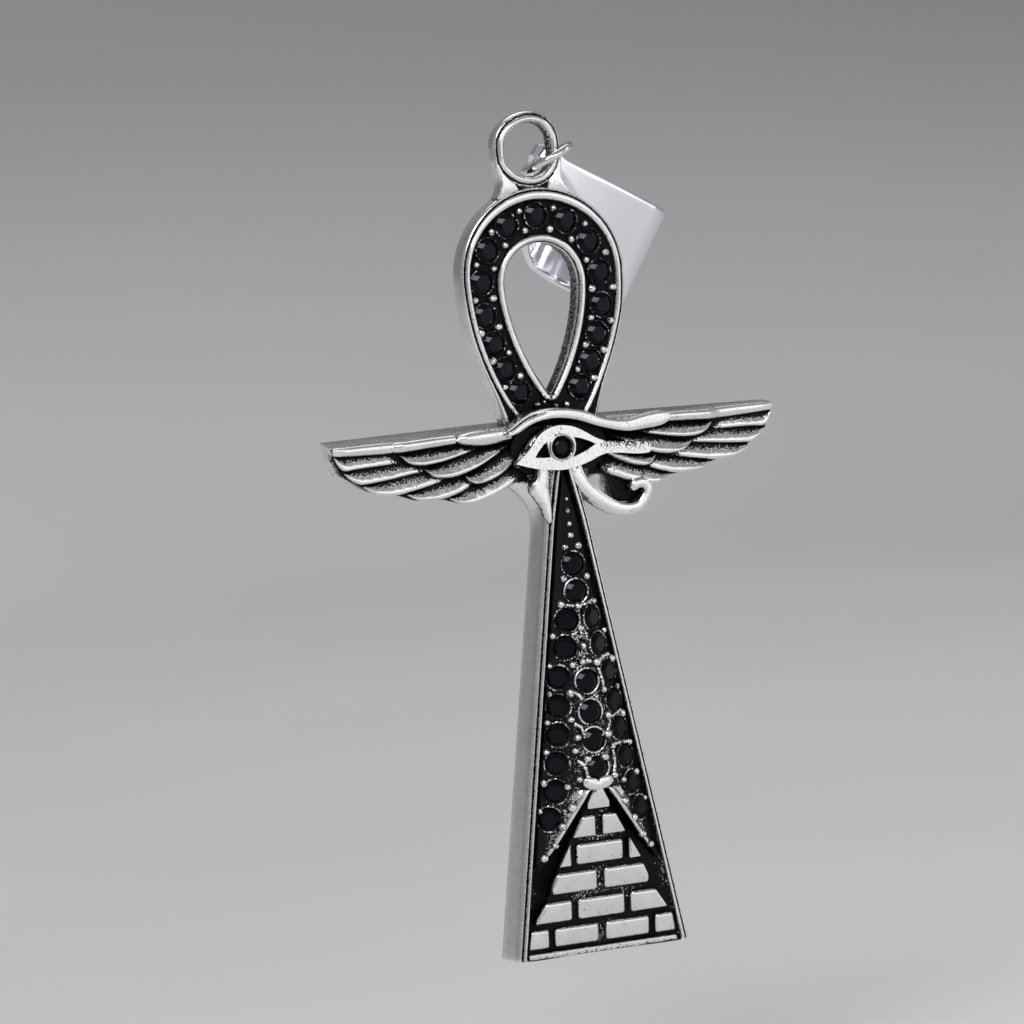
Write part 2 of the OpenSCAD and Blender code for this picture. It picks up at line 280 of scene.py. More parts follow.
def piece(name, bm, body="ankh", slot="casting", level=1, crisp=50, drop=True):
    """Turns a bmesh drawn in millimetres into an object that rides on a body."""
    bmesh.ops.remove_doubles(bm, verts=bm.verts[:], dist=MERGE_DISTANCE)
    bmesh.ops.recalc_face_normals(bm, faces=bm.faces[:])
    if drop:
        bmesh.ops.translate(bm, verts=bm.verts[:], vec=(0, 0, -CROSSING_DROP))
    bmesh.ops.scale(bm, verts=bm.verts[:], vec=(MM, MM, MM))
    obj = mesh_object(name, bm)
    obj.data.set_sharp_from_angle(angle=radians(crisp))
    if level:
        subdivision = obj.modifiers.new("rounding", "SUBSURF")
        subdivision.levels = subdivision.render_levels = level
    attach(obj, body)
    finished[name] = obj
    print(name, len(obj.data.polygons), "faces")


def lofted_piece(name, rows, cap=True, **finish):
    """A piece that is one loft."""
    bm = new_mesh()
    loft(bm, rows, cap=cap)
    piece(name, bm, **finish)


# %% [markdown]
# ## The loop
# The loop is a teardrop with a raised rim along its outside and another round its hole, and the stones stand in
# the channel between. Two outlines and one section, a list of insets with a depth and a bare value each, make
# all of it: side wall, bevels and grooves.

# %% Outline and section of the teardrop
LOOP_COUNT = 156
DENSE_COUNT = 1440
WING_TOP = -2.45


def shrinking(bottom, top, radius, rate, power):
    """Circles (height, radius) on the middle line that shrink downwards. A teardrop runs round them."""
    return [(z, radius - rate * (top - z) ** power) for z in np.linspace(bottom, top, 14)]


LOOP_CIRCLES = shrinking(-1.4, 9.15, 6.75, 0.0489, 1.853)
HOLE_CIRCLES = shrinking(0.2, 8.5, 3.1, 0.0928, 1.63)
OUTER_SECTION = [  # inset from the loop's outline, depth, bare
    (0.4, BACK, 0.9), (0.12, BACK - 0.04, 1), (0, BACK - 0.2, 1), (0, 0.4, 0.95), (0, FRONT + 0.56, 0.95),
    (0.03, FRONT + 0.38, 1), (0.1, FRONT + 0.22, 1), (0.19, FRONT + 0.14, 1), (0.23, FRONT + 0.16, 0.6),
    (0.27, FRONT + 0.3, 0), (0.33, FRONT + 0.28, 0), (0.37, FRONT + 0.1, 0.7), (0.43, FRONT - 0.01, 1),
    (0.54, FRONT - 0.04, 1), (0.66, FRONT, 1), (0.76, FRONT + 0.1, 0.9), (0.8, FRONT + 0.36, 0.1),
    (0.9, FRONT + 0.46, 0)]
INNER_SECTION = [  # inset from the hole's outline, depth, bare
    (-0.86, FRONT + 0.46, 0), (-0.7, FRONT + 0.42, 0), (-0.64, FRONT + 0.32, 0.1), (-0.61, FRONT + 0.1, 0.85),
    (-0.52, FRONT - 0.02, 1), (-0.38, FRONT - 0.05, 1), (-0.22, FRONT - 0.02, 1), (-0.15, FRONT + 0.08, 0.9),
    (-0.12, FRONT + 0.22, 0.1), (-0.08, FRONT + 0.24, 0), (-0.04, FRONT + 0.2, 0.9), (0, FRONT + 0.28, 1),
    (0, FRONT + 0.44, 0.3), (0, BACK - 0.3, 0.3), (-0.1, BACK - 0.06, 0.9), (-0.3, BACK, 0.9)]


def spread_along(run, count, endpoint=True):
    """Points spread evenly along a run of (x, z)."""
    at = np.r_[0, np.cumsum(np.hypot(*np.diff(run, axis=0).T))]
    even = np.linspace(0, at[-1], count, endpoint=endpoint)
    return np.c_[np.interp(even, at, run[:, 0]), np.interp(even, at, run[:, 1])]


def teardrop(circles, inset):
    """Points round a set of circles, each of its radius less the inset, from the top."""
    dense = []
    for k in range(DENSE_COUNT):
        angle = pi / 2 - 2 * pi * k / DENSE_COUNT
        ux, uz = cos(angle), sin(angle)
        z, r = max(circles, key=lambda c: c[0] * uz + c[1])
        dense.append((ux * (r - inset), z + uz * (r - inset)))
    return spread_along(np.array(dense + dense[:1]), LOOP_COUNT, endpoint=False)


def flare(x, z, depth, start, end, reach):
    """Shifts a wall's point outwards, more towards the back, where the wall runs into the wing."""
    share = unit((z - start) / (end - start)) ** 2.2
    behind = unit((depth - WING_FRONT + 0.9) / 1.2)
    return x + copysign(reach * share * behind, x)


def bulge(x, z):
    """How far the loop's right side stands out beyond its left."""
    return 0.4 * max(0, x / 6.5) * unit((z - 1) / 5)


def loop_rows(circles, section, outside):
    """Rings of the loop's surface along one of its two outlines."""
    rows = []
    for inset, depth, bare in section:
        lower = 0.22 * unit((inset - 0.43) / 0.2)
        row = []
        for x, z in teardrop(circles, inset):
            dim = 0.45 * unit((1.2 - z) / 2.2)
            if outside:
                x = flare(x, z, depth, 1.5, WING_TOP, 1.0 * (inset < 0.3))
                x, z, dim = x + bulge(x, z), z - lower * unit((z - 9.5) / 5), 0
            row.append((x, depth, z, bare - dim))
        rows.append(row)
    return rows


rows = loop_rows(LOOP_CIRCLES, OUTER_SECTION, True) + loop_rows(HOLE_CIRCLES, INNER_SECTION, False)
lofted_piece("loop_frame", rows + rows[:1], cap=False)

# %% [markdown]
# ## The post
# The post widens and leans forward towards the foot. Its section has the loop's bevel, groove and rim, and a deep
# floor between the rims. The last rows close in a little to bevel the foot.

# %% Post frame
POST_SECTION = [  # inset from the side, depth behind the front, bare
    (0.35, None, 0.9), (0.1, -0.04, 1), (0, -0.2, 1), (0, 0.62, 0.95), (0.04, 0.4, 1), (0.14, 0.24, 1),
    (0.25, 0.18, 1), (0.29, 0.2, 0.6), (0.33, 0.33, 0), (0.39, 0.31, 0), (0.43, 0.1, 0.7), (0.5, -0.01, 1),
    (0.6, -0.03, 1), (0.68, 0.05, 1), (0.72, 0.2, 0.5), (0.76, 0.85, 0)]
MIDDLE_DEPTH = -0.5
FLARE_START, FLARE_END, FLARE_REACH = -10.2, -6.3, 3.6


def post_row(z, shrink=0.0):
    """One ring of the post's section at height z."""
    half, front = post_half(z), post_front(z)
    side = []
    for inset, depth, bare in POST_SECTION:
        if depth is None:
            y = BACK
        elif depth < 0 and inset < 0.3:
            y = BACK + depth
        else:
            y = front + depth
        y = mix(y, MIDDLE_DEPTH, shrink * 0.2)
        x = half - inset - shrink
        if inset < 0.3:
            x = flare(x, z, y, FLARE_START, FLARE_END, FLARE_REACH)
        side.append((x, y, z, bare))
    return [(-x, y, z, bare) for x, y, z, bare in reversed(side)] + side


heights = [-5.4, -5.8, -6.1, -6.4, -6.9, -7.4, -8.0, -8.7, -9.5, -10.3]
heights += [mix(-11.5, FOOT_Z + 0.5, k / 28) for k in range(29)]
foot_rows = [post_row(FOOT_Z + 0.12), post_row(FOOT_Z, 0.14)]
lofted_piece("post_frame", [post_row(z) for z in heights] + foot_rows)

# %% [markdown]
# ## The stones' ground on the post
# Between the rims lies a low roof of metal with a flat crown, and the stones are set in it. It ends in an upside
# down V round the pyramid, with a bright lip and a black gap that widens downwards. Half of it is lofted, its
# inner edge leaving the middle below the apex, and a mirror gives the other half.

# %% Stones' ground
PYRAMID_SIDE = [(-30.3, 0.42), (-33.85, 2.25), (-36, 3.5), (-38.5, 4.6), (-40.1, 5.6), (-41.2, 6.6)]
ROOF_SLOPE = 0.49
ROOF_FOOT = 0.35
GROUND_END = -36.2


def pyramid_half(z):
    """Half width of the pyramid at height z."""
    zs, xs = zip(*reversed(PYRAMID_SIDE))
    return float(np.interp(z, zs, xs))


def ground_front(x, z):
    """Depth of the stones' ground at a place on the post: a roof with a flat crown."""
    wide = post_half(z) - 0.85
    crown = min(1, 0.6 * wide)
    return post_front(z) + ROOF_FOOT - ROOF_SLOPE * max(0, wide - max(abs(x), crown))


def ground_row(z):
    """Half a row of the ground, from its inner edge to the rim's groove."""
    outer = post_half(z) - 0.98
    floor = post_front(z) + 0.95
    lip = 0 if z >= APEX_Z else 1
    gap = lip * (pyramid_half(z) + 0.22 + (APEX_Z - z) * 0.17)
    inner = min(gap, outer - 0.3)
    edge = ground_front(inner, z)
    crown_shine = 0.35 + 0.3 * unit((-13.5 - z) / 3)
    shine = 1.5 - 0.7 * max(0, -34.6 - z) if lip else crown_shine
    row = [(inner, floor if lip else edge, z, 0), (inner + 0.02 * lip, edge + 0.08 * lip, z, 0.4)]
    row += [(inner + step * lip, edge - 0.08 * lip, z, shine) for step in (0.12, 0.44)]
    start = inner + 0.62 * lip
    for k in range(7):
        x = mix(start, outer - 0.1, k / 6)
        near_lip = lip * max(0, 1 - (x - start) / 0.9) * 0.8
        row.append((x, ground_front(x, z), z, max(crown_shine - 0.85 * (abs(x) / outer), 0.1) + near_lip))
    return row + [(outer, ground_front(outer, z) + 0.1, z, 0.45), (outer + 0.03, floor, z, 0)]


bm = new_mesh()
heights = [mix(-6.4, APEX_Z, k / 60) for k in range(61)] + [APEX_Z - 0.01]
heights += [mix(APEX_Z - 0.35, GROUND_END, k / 16) for k in range(17)]
loft(bm, [ground_row(z) for z in heights], closed=False)
bmesh.ops.mirror(bm, geom=bm.verts[:] + bm.edges[:] + bm.faces[:], axis="X", merge_dist=0.01)
piece("stone_ground", bm)

# %% [markdown]
# ## The brick pyramid
# Each brick reads as a block with soft corners over a dark bed. It is a cube that is scaled, cut along the
# pyramid's slanting side with bisect_plane and then bevelled all round, by its own amount.

# %% Bricks
BRICKS = [  # inner end, outer end, bottom, top, softness of the corners
    (-0.95, 0.95, -31.9, -30.25, 0.14),
    (0.3, 4, -34, -32.4, 0.2),
    (-2, 2, -36.1, -34.5, 0.27), (2.5, 6, -36.1, -34.5, 0.1),
    (0.3, 4.15, -38.2, -36.6, 0.27),
    (-2, 2, -40.35, -38.75, 0.27), (2.5, 7, -40.35, -38.75, 0.27),
    (0.3, 4.05, -42.25, -40.8, 0.27), (4.55, 7, -42.25, -40.8, 0.22)]
BRICK_DEPTH = 0.75
FACE_SLOPE = 0.113


def cut(bm, point, normal):
    """Cuts away what lies on the normal's side of a plane and closes the cut."""
    geom = bm.verts[:] + bm.edges[:] + bm.faces[:]
    made = bmesh.ops.bisect_plane(bm, geom=geom, plane_co=point, plane_no=normal, clear_outer=True)["geom_cut"]
    edges = [e for e in made if isinstance(e, bmesh.types.BMEdge)]
    if edges:
        bmesh.ops.contextual_create(bm, geom=edges)


def face_front(z):
    """Depth of the pyramid's leaning face at height z."""
    return APEX_FRONT + (APEX_Z - z) * FACE_SLOPE


def brick(x0, x1, z0, z1, soft, side):
    """One brick with soft corners, between x0 and x1 and cut by the pyramid's and the post's side."""
    one = new_mesh()
    bmesh.ops.create_cube(one, size=1)
    bmesh.ops.scale(one, verts=one.verts[:], vec=(x1 - x0, BRICK_DEPTH, z1 - z0))
    bmesh.ops.translate(one, verts=one.verts[:], vec=((x0 + x1) / 2, BRICK_DEPTH / 2, (z0 + z1) / 2))
    for half, margin in ((pyramid_half, 0.05), (post_half, 0.95)):
        top, bottom = half(z1) - margin, half(z0) - margin
        slope = Vector((z1 - z0, 0, bottom - top)).normalized()
        cut(one, (top, 0, z1), slope)
        cut(one, (-top, 0, z1), (-slope.x, 0, slope.z))
    bmesh.ops.bevel(one, geom=one.edges[:], offset=soft, segments=6, profile=0.5, affect="EDGES", material=-1)
    bare = one.verts.layers.float["bare"]
    for vert in one.verts:
        vert[bare] = 1.0 + 0.4 * (z1 > -31) - 2.0 * max(0, vert.co.y - 0.04)
        vert.co = (vert.co.x * side, vert.co.y + face_front(vert.co.z), vert.co.z)
    return one


def join(bm, other):
    """Adds another bmesh to this one."""
    mesh = bpy.data.meshes.new("part")
    other.to_mesh(mesh)
    other.free()
    bm.from_mesh(mesh)
    bpy.data.meshes.remove(mesh)


bm = new_mesh()
for x0, x1, z0, z1, soft in BRICKS:
    for side in ((1, -1) if x0 > 0 else (1,)):
        join(bm, brick(x0, x1, z0, z1, soft, side))
join(bm, brick(-7, 7, FOOT_Z + 0.02, -42.6, 0.14, 1))
piece("bricks", bm, level=0, crisp=30)

# %% [markdown]
# A dark bed lies under the bricks and shows between them as mortar. It follows the pyramid's outline.

# %% Bed of mortar under the bricks
rows = []
for z in [APEX_Z + 0.05] + [mix(APEX_Z - 0.3, FOOT_Z + 0.05, k / 16) for k in range(17)]:
    half = max(0.02, min(pyramid_half(z), post_half(z) - 0.8))
    front = face_front(z)
    side = [(half * 0.6, front + 0.36, z, 0.4), (half, front + 0.45, z, 0.1), (half, front + 1.6, z, 0)]
    rows.append([(-x, y, z, b) for x, y, z, b in reversed(side)] + side)
lofted_piece("mortar_bed", rows)

# %% [markdown]
# ## The wings
# One plate runs through both wings and carries two layers of feathers on each side. Its top wall leans back
# upwards, and its front is black, because only the feathers were polished.

# %% Plate of both wings
LEAN_RISE = 0.6
LEAN_LOSS_LEFT, LEAN_LOSS_RIGHT = 0.17, 0.5
WING_PLATE = [(WING_HALF, -2.4), (18.65, -3.3), (18.05, -4.55), (16.9, -5.3), (15.5, -6.05), (13.4, -6.5),
              (12.1, -7), (9.6, -7.2), (8.3, -7.65), (6.9, -7.6), (5.4, -7.2), (3.6, -6.5)]


def slab(bm, outline, front, back, soft, bare=1.0):
    """A flat plate with a bevelled edge from an outline of (x, z)."""
    one = new_mesh()
    face = one.faces.new([one.verts.new((x, front, z)) for x, z in outline])
    made = bmesh.ops.extrude_face_region(one, geom=[face])["geom"]
    bmesh.ops.translate(one, verts=verts_in(made), vec=(0, back - front, 0))
    rim = [e for e in one.edges if abs(e.verts[0].co.y - e.verts[1].co.y) < 0.01]
    bmesh.ops.bevel(one, geom=rim, offset=soft, segments=3, profile=0.5, affect="EDGES", material=-1)
    paint(one, lambda x, y, z: bare)
    join(bm, one)


def plate_bare(x, y, z):
    """Black on the plate's front, dim on the low walls beside it."""
    if y < WING_FRONT + 0.02:
        return 0
    return 0.2 if y < -0.5 and z < -2.6 else None


bm = new_mesh()
slab(bm, [(0, -2.4)] + WING_PLATE + [(-x, z) for x, z in reversed(WING_PLATE)], WING_FRONT, BACK, 0.1, 1.3)
paint(bm, plate_bare)
for vert in bm.verts:
    x, y, z = vert.co
    if y > 0 and z > -2.7:
        vert.co.z += LEAN_RISE - (LEAN_LOSS_RIGHT if x > 0 else LEAN_LOSS_LEFT) * abs(x) / WING_HALF
piece("wing_plates", bm, level=0, crisp=35)

# %% [markdown]
# A feather is drawn by two curves that meet at its tip: its upper side, which lies deep under its neighbour, and
# its lower edge, which stands proud and was polished bright. The section between them is written once. Its bare
# value wavers from row to row and gives the barbs. Three quills lie along the top of each wing.

# %% Feathers
FEATHERS = [  # upper side from root to tip, lower edge from root to tip, height over the plate
    ([(13.2, -2.9), (15.5, -2.85), (17.6, -2.9), (18.6, -3.05)],
     [(13.2, -4.05), (15.6, -4.1), (17, -4.15), (17.85, -4.2), (18.3, -3.8), (18.62, -3.15)], 0.42),
    ([(10.8, -3.9), (13.6, -3.8), (16.2, -3.9), (17.9, -4.3)],
     [(10.8, -4.8), (12.7, -5.02), (14.2, -5.2), (15.6, -5.33), (16.6, -5.33), (17.35, -4.95),
      (17.95, -4.38)], 0.5),
    ([(9.2, -4.6), (11.6, -4.6), (14.3, -4.85), (16.3, -5.42)],
     [(9.2, -5.6), (10.9, -6), (12.3, -6.25), (13.7, -6.42), (15, -6.33), (15.85, -5.98), (16.4, -5.52)], 0.58),
    ([(7, -4.9), (8.8, -5.15), (10.8, -5.6), (12.8, -6.4)],
     [(7, -6.1), (8.3, -6.7), (9.5, -7.02), (10.6, -7.12), (12, -6.97), (12.9, -6.5)], 0.68),
    ([(3.4, -4.5), (5.4, -5), (7.4, -5.85), (9.3, -7.02)],
     [(3.4, -6.2), (4.5, -6.8), (5.6, -7.25), (6.8, -7.58), (7.8, -7.72), (8.7, -7.55), (9.4, -7.12)], 0.8),
    ([(6.8, -2.8), (9, -2.85), (11.4, -3), (13.2, -3.38)],
     [(6.8, -3.6), (8.2, -3.95), (9.4, -4.2), (10.7, -4.38), (11.8, -4.38), (12.7, -4.08), (13.28, -3.48)], 0.8),
    ([(4.2, -3), (6.6, -3.4), (9.2, -3.8), (11.35, -4.62)],
     [(4.2, -3.6), (5.8, -4.45), (7.1, -5.02), (8.4, -5.42), (9.6, -5.55), (10.65, -5.35), (11.42, -4.7)], 0.95),
    ([(3.5, -3.7), (4.9, -4), (6.6, -4.6), (8.05, -5.45)],
     [(3.5, -4.6), (4.6, -5.4), (5.5, -5.85), (6.4, -6.15), (7.2, -6.25), (7.75, -6.02), (8.12, -5.52)], 1.1)]
QUILLS = [  # upper side, lower edge, height over the plate
    ([(13.7, -2.36), (15.5, -2.34), (17.5, -2.36), (18.5, -2.38), (18.75, -2.5)],
     [(13.7, -3.24), (15.5, -3.2), (17.5, -3.12), (18.5, -3.05), (18.72, -2.9)], 0.55),
    ([(8.6, -2.3), (10.5, -2.32), (12.5, -2.38), (13.7, -2.42), (14.1, -2.62)],
     [(8.6, -3.05), (10.5, -3.14), (12.5, -3.24), (13.6, -3.26), (14.08, -3.05)], 0.8),
    ([(4, -2.1), (5.4, -2.08), (7, -2.15), (8.2, -2.35), (8.72, -2.7)],
     [(4, -3.2), (5.8, -3.4), (7.1, -3.36), (8.1, -3.15), (8.7, -2.82)], 1.05)]
FEATHER_SECTION = [  # share across from the upper side, share of the height, bare
    (0, None, 0), (0, 0.06, 0), (0.1, 0.12, 0), (0.24, 0.28, 0.1), (0.38, 0.46, 0.3), (0.5, 0.62, 0.5),
    (0.62, 0.8, 0.8), (0.74, 0.93, 1), (0.85, 1, 1.1), (0.93, 0.95, 1.1), (0.985, 0.78, 1), (1, 0.5, 0.5),
    (1, None, 0)]
QUILL_SECTION = [
    (0, None, 0.6), (0, 0.4, 0.9), (0.05, 0.7, 1), (0.16, 0.92, 1), (0.35, 1, 1), (0.55, 1, 1),
    (0.75, 0.95, 1), (0.9, 0.84, 1), (0.98, 0.62, 0.9), (1, 0.3, 0.3), (1, None, 0)]
STATIONS = 44


def evenly(points, count):
    """Points spread evenly along a smooth run through a few given ones."""
    return spread_along(np.array(spline(points, 10)), count)


def feather(bm, row, section, side, root_height, barbs):
    """One feather from root to tip. Barbs is how much its bare value wavers from row to row."""
    upper, lower, height = evenly(row[0], STATIONS), evenly(row[1], STATIONS), row[2]
    rows = []
    for k in range(STATIONS):
        t = k / (STATIONS - 1)
        lift = height * mix(root_height, 1, min(1, t * 2.5)) * mix(1, 0.72, max(0, t * 5 - 4))
        waver = random.uniform(-barbs, barbs)
        ridge = random.uniform(-0.02, 0.02) * (barbs > 0)
        points = []
        for share, rise, bare in section:
            x, z = upper[k] + (lower[k] - upper[k]) * share
            y = WING_FRONT + 0.35
            if rise is not None:
                y = WING_FRONT - lift * rise - ridge * (0.2 < share < 0.8)
                bare = bare + waver * 4 * bare * (1 - bare) - 1.2 * max(0, 1 - t / 0.2) * (barbs > 0)
            points.append((x * side, y, z, bare))
        rows.append(points)
    loft(bm, rows)


bm = new_mesh()
for side in (-1, 1):
    for row in FEATHERS:
        feather(bm, row, FEATHER_SECTION, side, 0.5, 0.1)
    for row in QUILLS:
        feather(bm, row, QUILL_SECTION, side, 1.0, 0)
piece("feathers", bm)

# %% [markdown]
# ## The eye
# The eye, brow, curl and the drop below the eye stand proud of everything else, with softened edges. The almond
# has three openings, so its top is filled between the outlines first, then inset twice and lifted to round its
# edges, and last its walls are extruded down.

# %% Relief with softened edges
def top_faces(bm):
    """The faces that are as far forward as any."""
    front = min(v.co.y for v in bm.verts)
    return [f for f in bm.faces if max(v.co.y for v in f.verts) < front + 0.001]


def relief(bm, runs, top, base, soft, shine):
    """A flat topped relief with rounded edges from an outline and its holes, all of (x, z)."""
    one = new_mesh()
    edges = []
    for run in runs:
        verts = [one.verts.new((x, top + soft, z)) for x, z in run]
        edges += [one.edges.new(pair) for pair in links(verts, True)]
    bmesh.ops.triangle_fill(one, edges=edges, use_beauty=True, use_dissolve=False, normal=(0, -1, 0))
    bmesh.ops.recalc_face_normals(one, faces=one.faces[:])
    if one.faces[0].normal.y > 0:
        bmesh.ops.reverse_faces(one, faces=one.faces[:])
    for thick, rise in ((soft * 0.3, soft * 0.7), (soft * 0.7, soft * 0.3)):
        bmesh.ops.inset_region(one, faces=top_faces(one), thickness=thick, depth=0, use_even_offset=True)
        rim = {v for e in one.edges if e.is_boundary for v in e.verts}
        inner = {v for f in top_faces(one) for v in f.verts} - rim
        bmesh.ops.translate(one, verts=list(inner), vec=(0, -rise, 0))
    wall = bmesh.ops.extrude_edge_only(one, edges=[e for e in one.edges if e.is_boundary])["geom"]
    for vert in verts_in(wall):
        vert.co.y = base
    paint(one, lambda x, y, z: -0.4 if y > base - 0.01 else shine(x, z))
    join(bm, one)


# %% [markdown]
# The almond's outline is two smooth runs with a straight cut between them. A black bevel with a worn line follows
# its upper edge, and a thin ring of metal holds the iris stone.

# %% Almond and its bevel
ALMOND_TOP = [(-4.15, -5), (-3.4, -4.45), (-2.75, -3.85), (-2.1, -3.1), (-1.4, -2.65), (-0.4, -2.4),
              (0.72, -2.55), (1.54, -2.9), (2.2, -3.3), (2.87, -3.7), (3.7, -4), (4.95, -4.15), (6.1, -4.25),
              (7.15, -4.35)]
ALMOND_END = [(7.4, -4.5), (7.35, -4.75), (7.52, -4.95)]
ALMOND_BOTTOM = [(7.2, -5.22), (6.25, -5.22), (4.9, -5.02), (3.75, -4.92), (3, -5.05), (2.3, -5.33),
                 (1.3, -5.62), (0.4, -5.8), (-0.7, -5.8), (-2.1, -5.6), (-3.2, -5.32)]
IRIS_X, IRIS_Z = -0.17, -4.1
IRIS_HOLE = 0.9
LEFT_GAP = [(-2.5, -4.66), (-2.15, -4.2), (-1.75, -3.8), (-1.38, -3.55), (-1.33, -4.1), (-1.16, -4.78),
            (-1.9, -4.76)]
RIGHT_GAP = [(0.9, -3.4), (1.5, -3.55), (2.2, -3.83), (2.72, -4.12), (1.9, -4.55), (0.72, -4.95), (0.98, -4.4),
             (1.02, -3.9)]
BEVEL = [(-4.2, -5.03), (-3.5, -4.2), (-2.7, -3.35), (-2, -2.72), (-1.2, -2.38), (-0.25, -2.27), (0.7, -2.45),
         (1.6, -2.82), (2.6, -3.42), (3.7, -3.9), (5, -4.1)]
BEVEL_STATIONS = 40
IRIS_SECTION = [  # radius, depth
    (0.93, -2.2), (0.93, -2.38), (0.97, -2.45), (1.03, -2.45), (1.07, -2.38), (1.07, -2.2)]


def turns(count):
    """Angles once round a circle, the last the same place as the first."""
    return [2 * pi * k / count for k in range(count + 1)]


outline = spline(ALMOND_TOP, 4) + ALMOND_END + spline(ALMOND_BOTTOM, 4)
iris = [(IRIS_X + cos(a) * IRIS_HOLE, IRIS_Z + sin(a) * IRIS_HOLE) for a in turns(36)[:-1]]
bm = new_mesh()
relief(bm, [outline, iris, LEFT_GAP, RIGHT_GAP], RELIEF_FRONT, RELIEF_FRONT + 1.6, 0.12,
       lambda x, z: 0.42 if x > 3.4 and z > -4.62 else 1)
piece("eye_almond", bm, level=0, crisp=40)

inner = evenly([(x + 0.22 * (x < 0.5), z - 0.5) for x, z in BEVEL], BEVEL_STATIONS)
rows = []
for k, (x, z) in enumerate(evenly(BEVEL, BEVEL_STATIONS)):
    worn = 0.5 + 0.3 * sin(k * 0.9) + random.uniform(-0.1, 0.1)
    px, pz = inner[k]
    rows.append([(x, -0.6, z, -0.4), (x, -1.75, z, 0.2), (x + 0.02, -1.9, z - 0.03, worn),
                 (mix(x, px, 0.3), -2.06, mix(z, pz, 0.3), worn),
                 (mix(x, px, 0.6), -2.2, mix(z, pz, 0.6), 0.35), (px, -2.2, pz, 0.1), (px, -0.6, pz, 0)])
lofted_piece("eye_bevel", rows)
rows = [[(IRIS_X + r * cos(a), y, IRIS_Z + r * sin(a), 1) for r, y in IRIS_SECTION] for a in turns(48)]
lofted_piece("iris_ring", rows, cap=False)

# %% [markdown]
# Brow, curl and spike are each one band: a section pushed along a line with a half width at every point. The
# brow's section has a thin black groove that fades out along it. A dark slab closes the space behind the curl.

# %% Brow, curl and spike
BROW = [(-4.45, -2.6, 0.32), (-3.9, -2.35, 0.4), (-3.3, -2.02, 0.45), (-2.6, -1.7, 0.47), (-1.7, -1.5, 0.44),
        (-0.5, -1.45, 0.42), (0.8, -1.6, 0.43), (2, -1.93, 0.45), (3, -2.35, 0.43), (3.9, -2.64, 0.42),
        (5, -2.88, 0.47), (5.9, -2.93, 0.54), (6.8, -2.83, 0.6), (7.7, -2.73, 0.64), (8.5, -2.66, 0.6),
        (8.95, -2.6, 0.46)]
CURL = [(0.95, -5.6, 0.62), (1.3, -6.6, 0.6), (1.92, -7.5, 0.59), (2.7, -8.22, 0.58), (3.6, -8.85, 0.56),
        (4.6, -9.3, 0.52), (5.5, -9.4, 0.47), (6.3, -9.2, 0.44), (6.9, -8.6, 0.42), (7.1, -7.95, 0.42),
        (6.75, -7.55, 0.42), (6.2, -7.55, 0.4), (5.95, -7.72, 0.38)]
CURL_WEB = [(4.2, -6), (6.4, -6.4), (7.4, -7.4), (7.5, -8.3), (6.5, -9), (5, -8.9), (4.2, -8.5)]
SPIKE = [(-1.8, -5.1, 0.45), (-1.83, -5.6, 0.46), (-1.88, -6.1, 0.5), (-1.97, -6.5, 0.58), (-2.09, -6.82, 0.7),
         (-2.2, -7.04, 0.8), (-2.12, -7.3, 0.72), (-2.03, -7.6, 0.62), (-1.8, -8.3, 0.4), (-1.68, -8.95, 0.28),
         (-1.6, -9.7, 0.12)]
BAND_SECTION = [  # share across, share of the height, bare
    (-1, 0, -0.4), (-1, 0.5, 0.4), (-0.98, 0.84, 1), (-0.88, 0.96, 1), (-0.5, 1, 1), (0, 1, 1),
    (0.5, 1, 1), (0.88, 0.96, 1), (0.98, 0.84, 1), (1, 0.5, 0.4), (1, 0, -0.4)]
BROW_SECTION = [  # the same, with a groove just left of the middle
    (-1, 0, -0.4), (-1, 0.55, 0.6), (-0.96, 0.88, 1), (-0.8, 0.97, 1), (-0.4, 0.95, 1), (-0.3, 0.84, 0.1),
    (-0.2, 0.95, 0.8), (0.2, 1, 1), (0.6, 1, 1), (0.88, 0.97, 1), (0.98, 0.84, 1), (1, 0.5, 0.4),
    (1, 0, -0.4)]


def band(bm, line, top, base, section=BAND_SECTION, steps=6, grooved=None):
    """A band with soft edges along a line of (x, z, half width), rounded at both ends."""
    run = spline(line, steps)
    heads = [Vector(p[:2]) for p in run]
    rows = []
    for k, (x, z, half) in enumerate(run):
        ahead = (heads[min(k + 1, len(run) - 1)] - heads[max(k - 1, 0)]).normalized()
        across = Vector((ahead.y, -ahead.x))
        fade = 0 if grooved is None else unit((x - grooved) / 1.5)
        row = []
        for s, h, b in section:
            if abs(s) < 0.5:
                h, b = mix(h, 1, fade), mix(b, 1, fade)
            row.append((x + across.x * half * s, mix(base, top, h), z + across.y * half * s, b))
        rows.append(row)
    middle = mix(base, top, 0.5)
    for end, inner in ((0, 1), (-1, -2)):
        x, z, half = run[end]
        direction = (heads[end] - heads[inner]).normalized() * half
        caps = []
        for k in (0.4, 0.75, 0.95):
            shrink = sqrt(1 - k * k)
            caps.append([(x + direction.x * k + (px - x) * shrink, mix(py, middle, k * 0.25),
                          z + direction.y * k + (pz - z) * shrink, b) for px, py, pz, b in rows[end]])
        rows = caps[::-1] + rows if end == 0 else rows + caps
    loft(bm, rows)


bm = new_mesh()
band(bm, BROW, RELIEF_FRONT + 0.05, WING_FRONT + 0.3, BROW_SECTION, grooved=-2.4)
piece("eye_brow", bm)
bm = new_mesh()
band(bm, CURL, RELIEF_FRONT + 0.4, FRONT + 0.6)
slab(bm, CURL_WEB, FRONT, BACK, 0.1, 0.15)
paint(bm, lambda x, y, z: 1 if y > BACK - 0.2 else None)
piece("eye_curl", bm)
bm = new_mesh()
band(bm, SPIKE, RELIEF_FRONT + 0.17, HEART_FRONT + 0.3, steps=4)
piece("eye_spike", bm)

